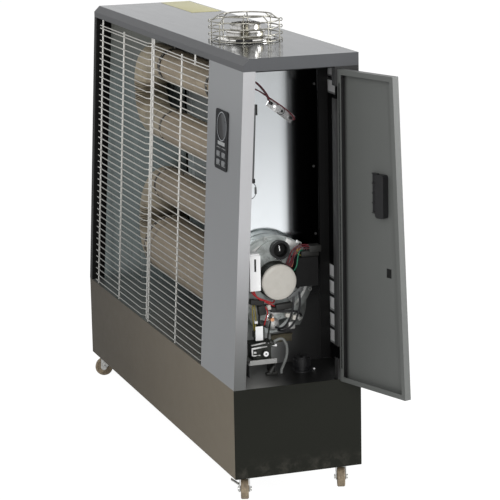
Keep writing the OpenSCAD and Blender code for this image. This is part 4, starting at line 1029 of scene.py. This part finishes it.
LEADS = {
    "wine": [
        [behind_panel(12, 640, 1), behind_panel(12, 640, 6), behind_panel(4, 668, 20), (490, -62, 998),
         (478, -40, 1007), (474, -27, 1002), (470, -13, 988), at_switch(9, -44, 9), at_switch(5, -41, 1),
         at_switch(4.5, -34.3, 0)],
        [behind_panel(18, 625, 1), behind_panel(18, 625, 6), behind_panel(8, 652, 20), (492, -60, 988),
         (478, -38, 988), (471, -16, 978), (470, 4, 962), (470, 34, 942), (470, 58, 922),
         at_switch(7, 45, 5), at_switch(4.5, 41, 0), at_switch(4.5, 34.3, 0)],
        [(538, 79, 591), (541, 66, 594), (540, 54, 592), (537, 42, 583), (534, 33, 570), (532, 31, 558),
         (530, 25, 549)],
        [(542, 79, 597), (544, 65, 601), (543, 52, 599), (540, 41, 591), (537, 34.5, 575),
         (535, 34.5, 560), (533, 28, 547)],
        [(534, 78, 600), (534, 64, 603), (532, 50, 600), (530, 38, 592), (528, 31, 577), (526, 29, 562),
         (526, 24, 551)]],
    "plum": [
        [(545, 79, 593), (547, 66, 596), (546, 55, 594), (543, 45, 586), (539, 37, 573), (537, 37, 560),
         (534, 30, 546)],
        [(530, 78, 595), (529, 62, 596), (526, 47, 592), (524, 36, 584), (523, 29, 570), (522, 25, 556),
         (522, 20, 552)]],
    "scarlet": [
        [(536, -74, 501), (540, -73, 490), (547, -60, 481), (551, -42, 474), (549, -26, 467),
         (542, -17, 462), (538, -14, 473)],
        [(541, -70, 501), (545, -70, 488), (552, -57, 478), (554, -40, 470), (551, -25, 461),
         (545, -16, 456)],
        [(530, -66, 501), (536, -64, 486), (545, -50, 470), (549, -38, 452), (546, -34, 440),
         (541, -37, 430), (538, -42, 409)]],
    "coral": [
        [(540, 56, 592), (539, 46, 587), (537, 38.5, 576), (536.5, 38.0, 562), (535, 33, 549)]],
    "leaf": [
        [(546, 58, 592), (550, 50, 592), (554, 44.5, 585), (554, 42, 572), (553, 41, 557), (551, 37, 546),
         (548, 33, 541)]],
    "sand": [
        [(533, 54, 580), (536, 56, 588), (540, 53, 597), (542, 46, 594), (542, 45, 585), (540, 51, 578),
         (537, 57, 577), (534, 60, 571)],
        [(546, -70, 466), (549, -70, 455), (548, -67, 440), (545, -66, 424), (540, -66, 404),
         (534, -66, 398)],
        [(542, -72, 466), (545, -75, 450), (544, -73, 430), (538, -70, 414), (532, -66, 396)]],
    "black_lead": [
        [(554, 30, 478), (557, 29, 458), (553, 25, 434), (548, 18, 412), (540, 8, 397), (530, -2, 393),
         (519, -8, 398)],
        [(554, 45, 489), (557, 47, 465), (553, 45, 440), (549, 36, 414), (543, 24, 396), (536, 8, 386),
         (524, -2, 390)],
        [(545, -44, 452), (549, -26, 447), (551, 0, 443), (553, 20, 443), (552, 38, 440), (546, 52, 430),
         (530, 60, 420), (512, 62, 416)],
        [(546, -55, 462), (541, -38, 461), (538, -20, 456), (541, -4, 451), (544, 12, 446),
         (541, 26, 452), (532, 30, 470), (520, 30, 484)],
        [(538, -53, 440), (534, -54, 426), (531, -53, 411)]],
}


def lead_bundle(look, paths):
    shape = Shape()
    for path in paths:
        shape.tube(path, 2.7 if look == "black_lead" else 1.5)
    return shape.finished("leads_" + look)


def switch_body(shape):
    """Rim, centre and terminals of the overheat switch."""
    shape.lathe([(9.1, 1.6), (10.4, 1.6), (10.4, 2.8), (9.1, 2.8)], at_switch(0.6, 0, 0), ALONG_X, 32)
    shape.lathe([(0.01, 9.5), (3.2, 9.5), (3.2, 11), (0.01, 11)], at_switch(0.6, 0, 0), ALONG_X, 24)
    for along in (-34, 30):
        shape.block(at_switch(5, along, 0), (8.6, 9.4, 7), 1, SWITCH_TILT)


def bezel_lamps(shape):
    """Two lamps on the printed front."""
    for x, z in ((543, 636), (542, 593)):
        profile = [(0.01, 0), (2.3, 0), (2.1, 0.9), (1.2, 1.6), (0.01, 1.8)]
        shape.lathe(profile, on_front(x, -2, z), OFF_FRONT, 18)


def sensor_lead(shape):
    """Thin lead from the strip's slot down to the room sensor."""
    shape.tube([(636, -90, 974), (636, -90, 962), (636.6, -91, 940), (636.4, -94, 880), (636.6, -96, 830),
                (637, -98, 800), (637.5, -99, 786)], 2.3)


def strip_slot(shape):
    """Black plate of painted shade for the slot in the front panel's strip where the sensor's lead enters,
    and the clip where it ends.
    """
    # Painted shade: a black plate standing for the slot's opening.
    shape.block((637.7, -87.4, 961), (1.2, 6, 26), 0.3)
    shape.block((638.2, -97, 791), (3, 7, 11), 1)


def bare_plate(shape):
    """Plain pale plate on the cover's far end."""
    shape.block((-504, 116.5, 1086.3), (300, 85, 0.7), 0.25)


def door_slot(shape):
    """Matt black block of painted shade for a blind slot pressed in the door's skin, and the seal strip on
    its free edge.
    """
    shape.axes = DOOR_AXES
    # Painted shade: a matt black block standing for the pressed slot.
    shape.block((658.2, -60, 581), (0.8, 16, 22), 0.3)
    shape.block((642.6, 96, 670), (1.2, 6, 700), 0.4)


# Fasteners and wheels

def weld_seeds():
    return [(on_front(x, depth, z), OFF_FRONT) for x, depth in ROD_COLUMNS for z in WIRE_ROWS]


def sheet_seeds():
    """Screws along the rear skin, its upper edge and the left end."""
    rear = [(x, z) for z in (296, 1044) for x in range(-640, 600, 154)]
    rear += [(x, 1064) for x in range(-620, 640, 310)]
    left = [(-90, 1063), (140, 1063)]
    left += [(y, z) for z in (300, 670) for y in (-120, 146)]
    left += [(y, z) for y in (-140, 140) for z in (86, 262)]
    return ([((x, REAR_FACE, z), (0, 1, 0)) for x, z in rear]
            + [((LEFT_FACE, y, z), (-1, 0, 0)) for y, z in left])


def bay_seeds():
    spots = ((459, 127, 987), (459, 123, 781), (459, 126, 610), (513, 63, 599), (509, 42, 393),
             (554.8, 51, 495), (554.8, 22, 473.5))
    return [(spot, ALONG_X) for spot in spots]


def wheel_axes(corner):
    """A wheel's centre and the turn of its fork."""
    x, y, degrees = CASTERS[corner]
    swing = turned(degrees, "Z", 3)
    return Vector((x, y, WHEEL_Z)) + swing @ Vector((TRAIL, 0, 0)), swing


def nut_seeds(corner):
    centre, swing = wheel_axes(corner)
    sides = [swing @ Vector((0, side, 0)) for side in (-1, 1)]
    return [(centre + across * 15.4, across) for across in sides]


def wheel_face(corner):
    """Raised hub ring, web ring and the two lips of the tread on one wheel."""
    shape = Shape()
    centre, swing = wheel_axes(corner)
    for side in (-1, 1):
        across = swing @ Vector((0, side, 0))
        face = centre + across * 7.8
        shape.lathe([(4, 7.5), (8, 7.5), (8, 10.2), (6.6, 10.9), (4, 10.9)], centre, across, 28)
        shape.lathe([(19, 8.2), (19.8, 9.4), (23.2, 9.4), (23.6, 8.2)], centre, across, 48)
        for k in range(8):
            spoke = swing @ turned(45 * k, "Y", 3) @ Vector(ALONG_X)
            shape.rod(face + spoke * 7, face + spoke * 19.4, 1.3, 8)
    return shape.finished("wheel_face")


# Pieces on the cabinet, by slot, each with its finish

DRAWN = {
    "heat_paint": ((bend_returns, "bend"), (tube_bands, "band"), (flame_plate, "scorched")),
    "galvanised": ((cage_eyes, "bright"), (collar_lip, "chrome"), (bright_fittings, "throat"),
                   (oil_line, "motor"), (copper_nut, "copper")),
    "cast_alloy": ((burner_lugs, "cast_pale"), (pump_frame, "cast_pale")),
    "black_plastic": ((flange_dark_ring, "black"), (dark_fittings, "strap"), (intake_bore, "matt_black"),
                      (retaining_strap, "sensor"), (switch_body, "black"), (strip_slot, "black")),
    "white_plastic": ((pale_fittings, "white"), (cap_ring, "cream"), (plug_bodies, "cream")),
    "dark_grey_plastic": ((bezel_lamps, "display"),),
    "hose_rubber": ((sensor_lead, "sensor"),),
    "grey_paint": ((bare_plate, "plate"),),
}


def drawn(draw, look, body):
    """A piece named after the function that draws it."""
    shape = Shape()
    draw(shape)
    return piece(draw.__name__, shape.finished(draw.__name__), look, body)


def place_details():
    for slot, rows in DRAWN.items():
        for draw, look in rows:
            made = drawn(draw, look, "cabinet")
            if draw is bend_returns:
                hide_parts("emitter_bends")
    drawn(door_slot, "matt_black", "side_door")
    for look, paths in LEADS.items():
        bundle = piece("leads_" + look, lead_bundle(look, paths), look, "cabinet")
        if look == "wine":
            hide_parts("wiring")


def place_fasteners():
    piece("guard_welds", nugget_rule().run("guard_welds", weld_seeds()), None, "cabinet")
    big = screw_rule("zinc").run("sheet_screws", sheet_seeds())
    piece("sheet_screws", big, None, "cabinet")
    small = screw_rule("inner").run("bay_screws", bay_seeds(), Radius=0.0026, Height=0.0018)
    piece("bay_screws", small, None, "cabinet")
    nuts = hex_rule()
    for corner in CASTERS:
        name = "axle_nuts_" + corner
        pair = nuts.run(name, nut_seeds(corner), Radius=0.0048, Height=0.0036)
        piece(name, pair, None, "caster_" + corner)
        piece("wheel_face_" + corner, wheel_face(corner), "tread", "roller_" + corner)


# Stage

def lay_floor():
    """White paper that glows to the camera, and a little in mirrors."""
    floor = Finish("studio floor")
    rays = floor.node("ShaderNodeLightPath").outputs
    seen, shine = (Value(floor, rays[ray]) for ray in ("Is Camera Ray", "Is Glossy Ray"))
    paper = floor.node("ShaderNodeBsdfDiffuse", None, {"Color": (0.86, 0.86, 0.86, 1)})
    glow = floor.node("ShaderNodeEmission", None, {"Color": (1, 1, 1, 1), "Strength": 1.12})
    inputs = {"Fac": seen * 0.86 + shine * 0.2, 1: paper.outputs[0], 2: glow.outputs[0]}
    material = floor.close(floor.node("ShaderNodeMixShader", None, inputs))
    mesh = bpy.data.meshes.new("floor")
    mesh.from_pydata([(-40, -40, 0), (40, -40, 0), (40, 40, 0), (-40, 40, 0)], [], [(0, 1, 2, 3)])
    mesh.materials.append(material)
    linked("floor", mesh)


def light_studio():
    """White room, full white to the camera and in mirrors, with four soft boxes."""
    world = bpy.data.worlds.new("studio")
    bpy.context.scene.world = world
    world.use_nodes = True
    sky = world.node_tree
    background = sky.nodes["Background"].inputs
    background["Color"].default_value = (1, 1, 1, 1)
    rays = new_node(sky, "ShaderNodeLightPath").outputs
    seen = new_node(sky, "ShaderNodeMath", {"operation": "MAXIMUM"},
                    {0: rays["Is Camera Ray"], 1: rays["Is Glossy Ray"]})
    strength = new_node(sky, "ShaderNodeMapRange", None,
                        {"Value": seen.outputs[0], "To Min": 0.52, "To Max": 1.0})
    sky.links.new(strength.outputs["Result"], background["Strength"])
    soft_box("key", (4.4, -1.6, 2.6), (0.4, 0, 0.6), (2.0, 2.0), 105)
    soft_box("fill", (0.2, -4.6, 2.4), (0.0, 0, 0.6), (3.0, 2.0), 42)
    soft_box("back", (1.2, 3.6, 1.2), (0.4, 0, 0.6), (2.4, 1.6), 150)
    soft_box("bay", (3.4, -0.4, 0.9), (0.5, 0, 0.6), (0.7, 0.7), 14)


place_camera()
lay_floor()
light_studio()
place_details()
place_fasteners()
bpy.context.scene.view_settings.view_transform = "Standard"
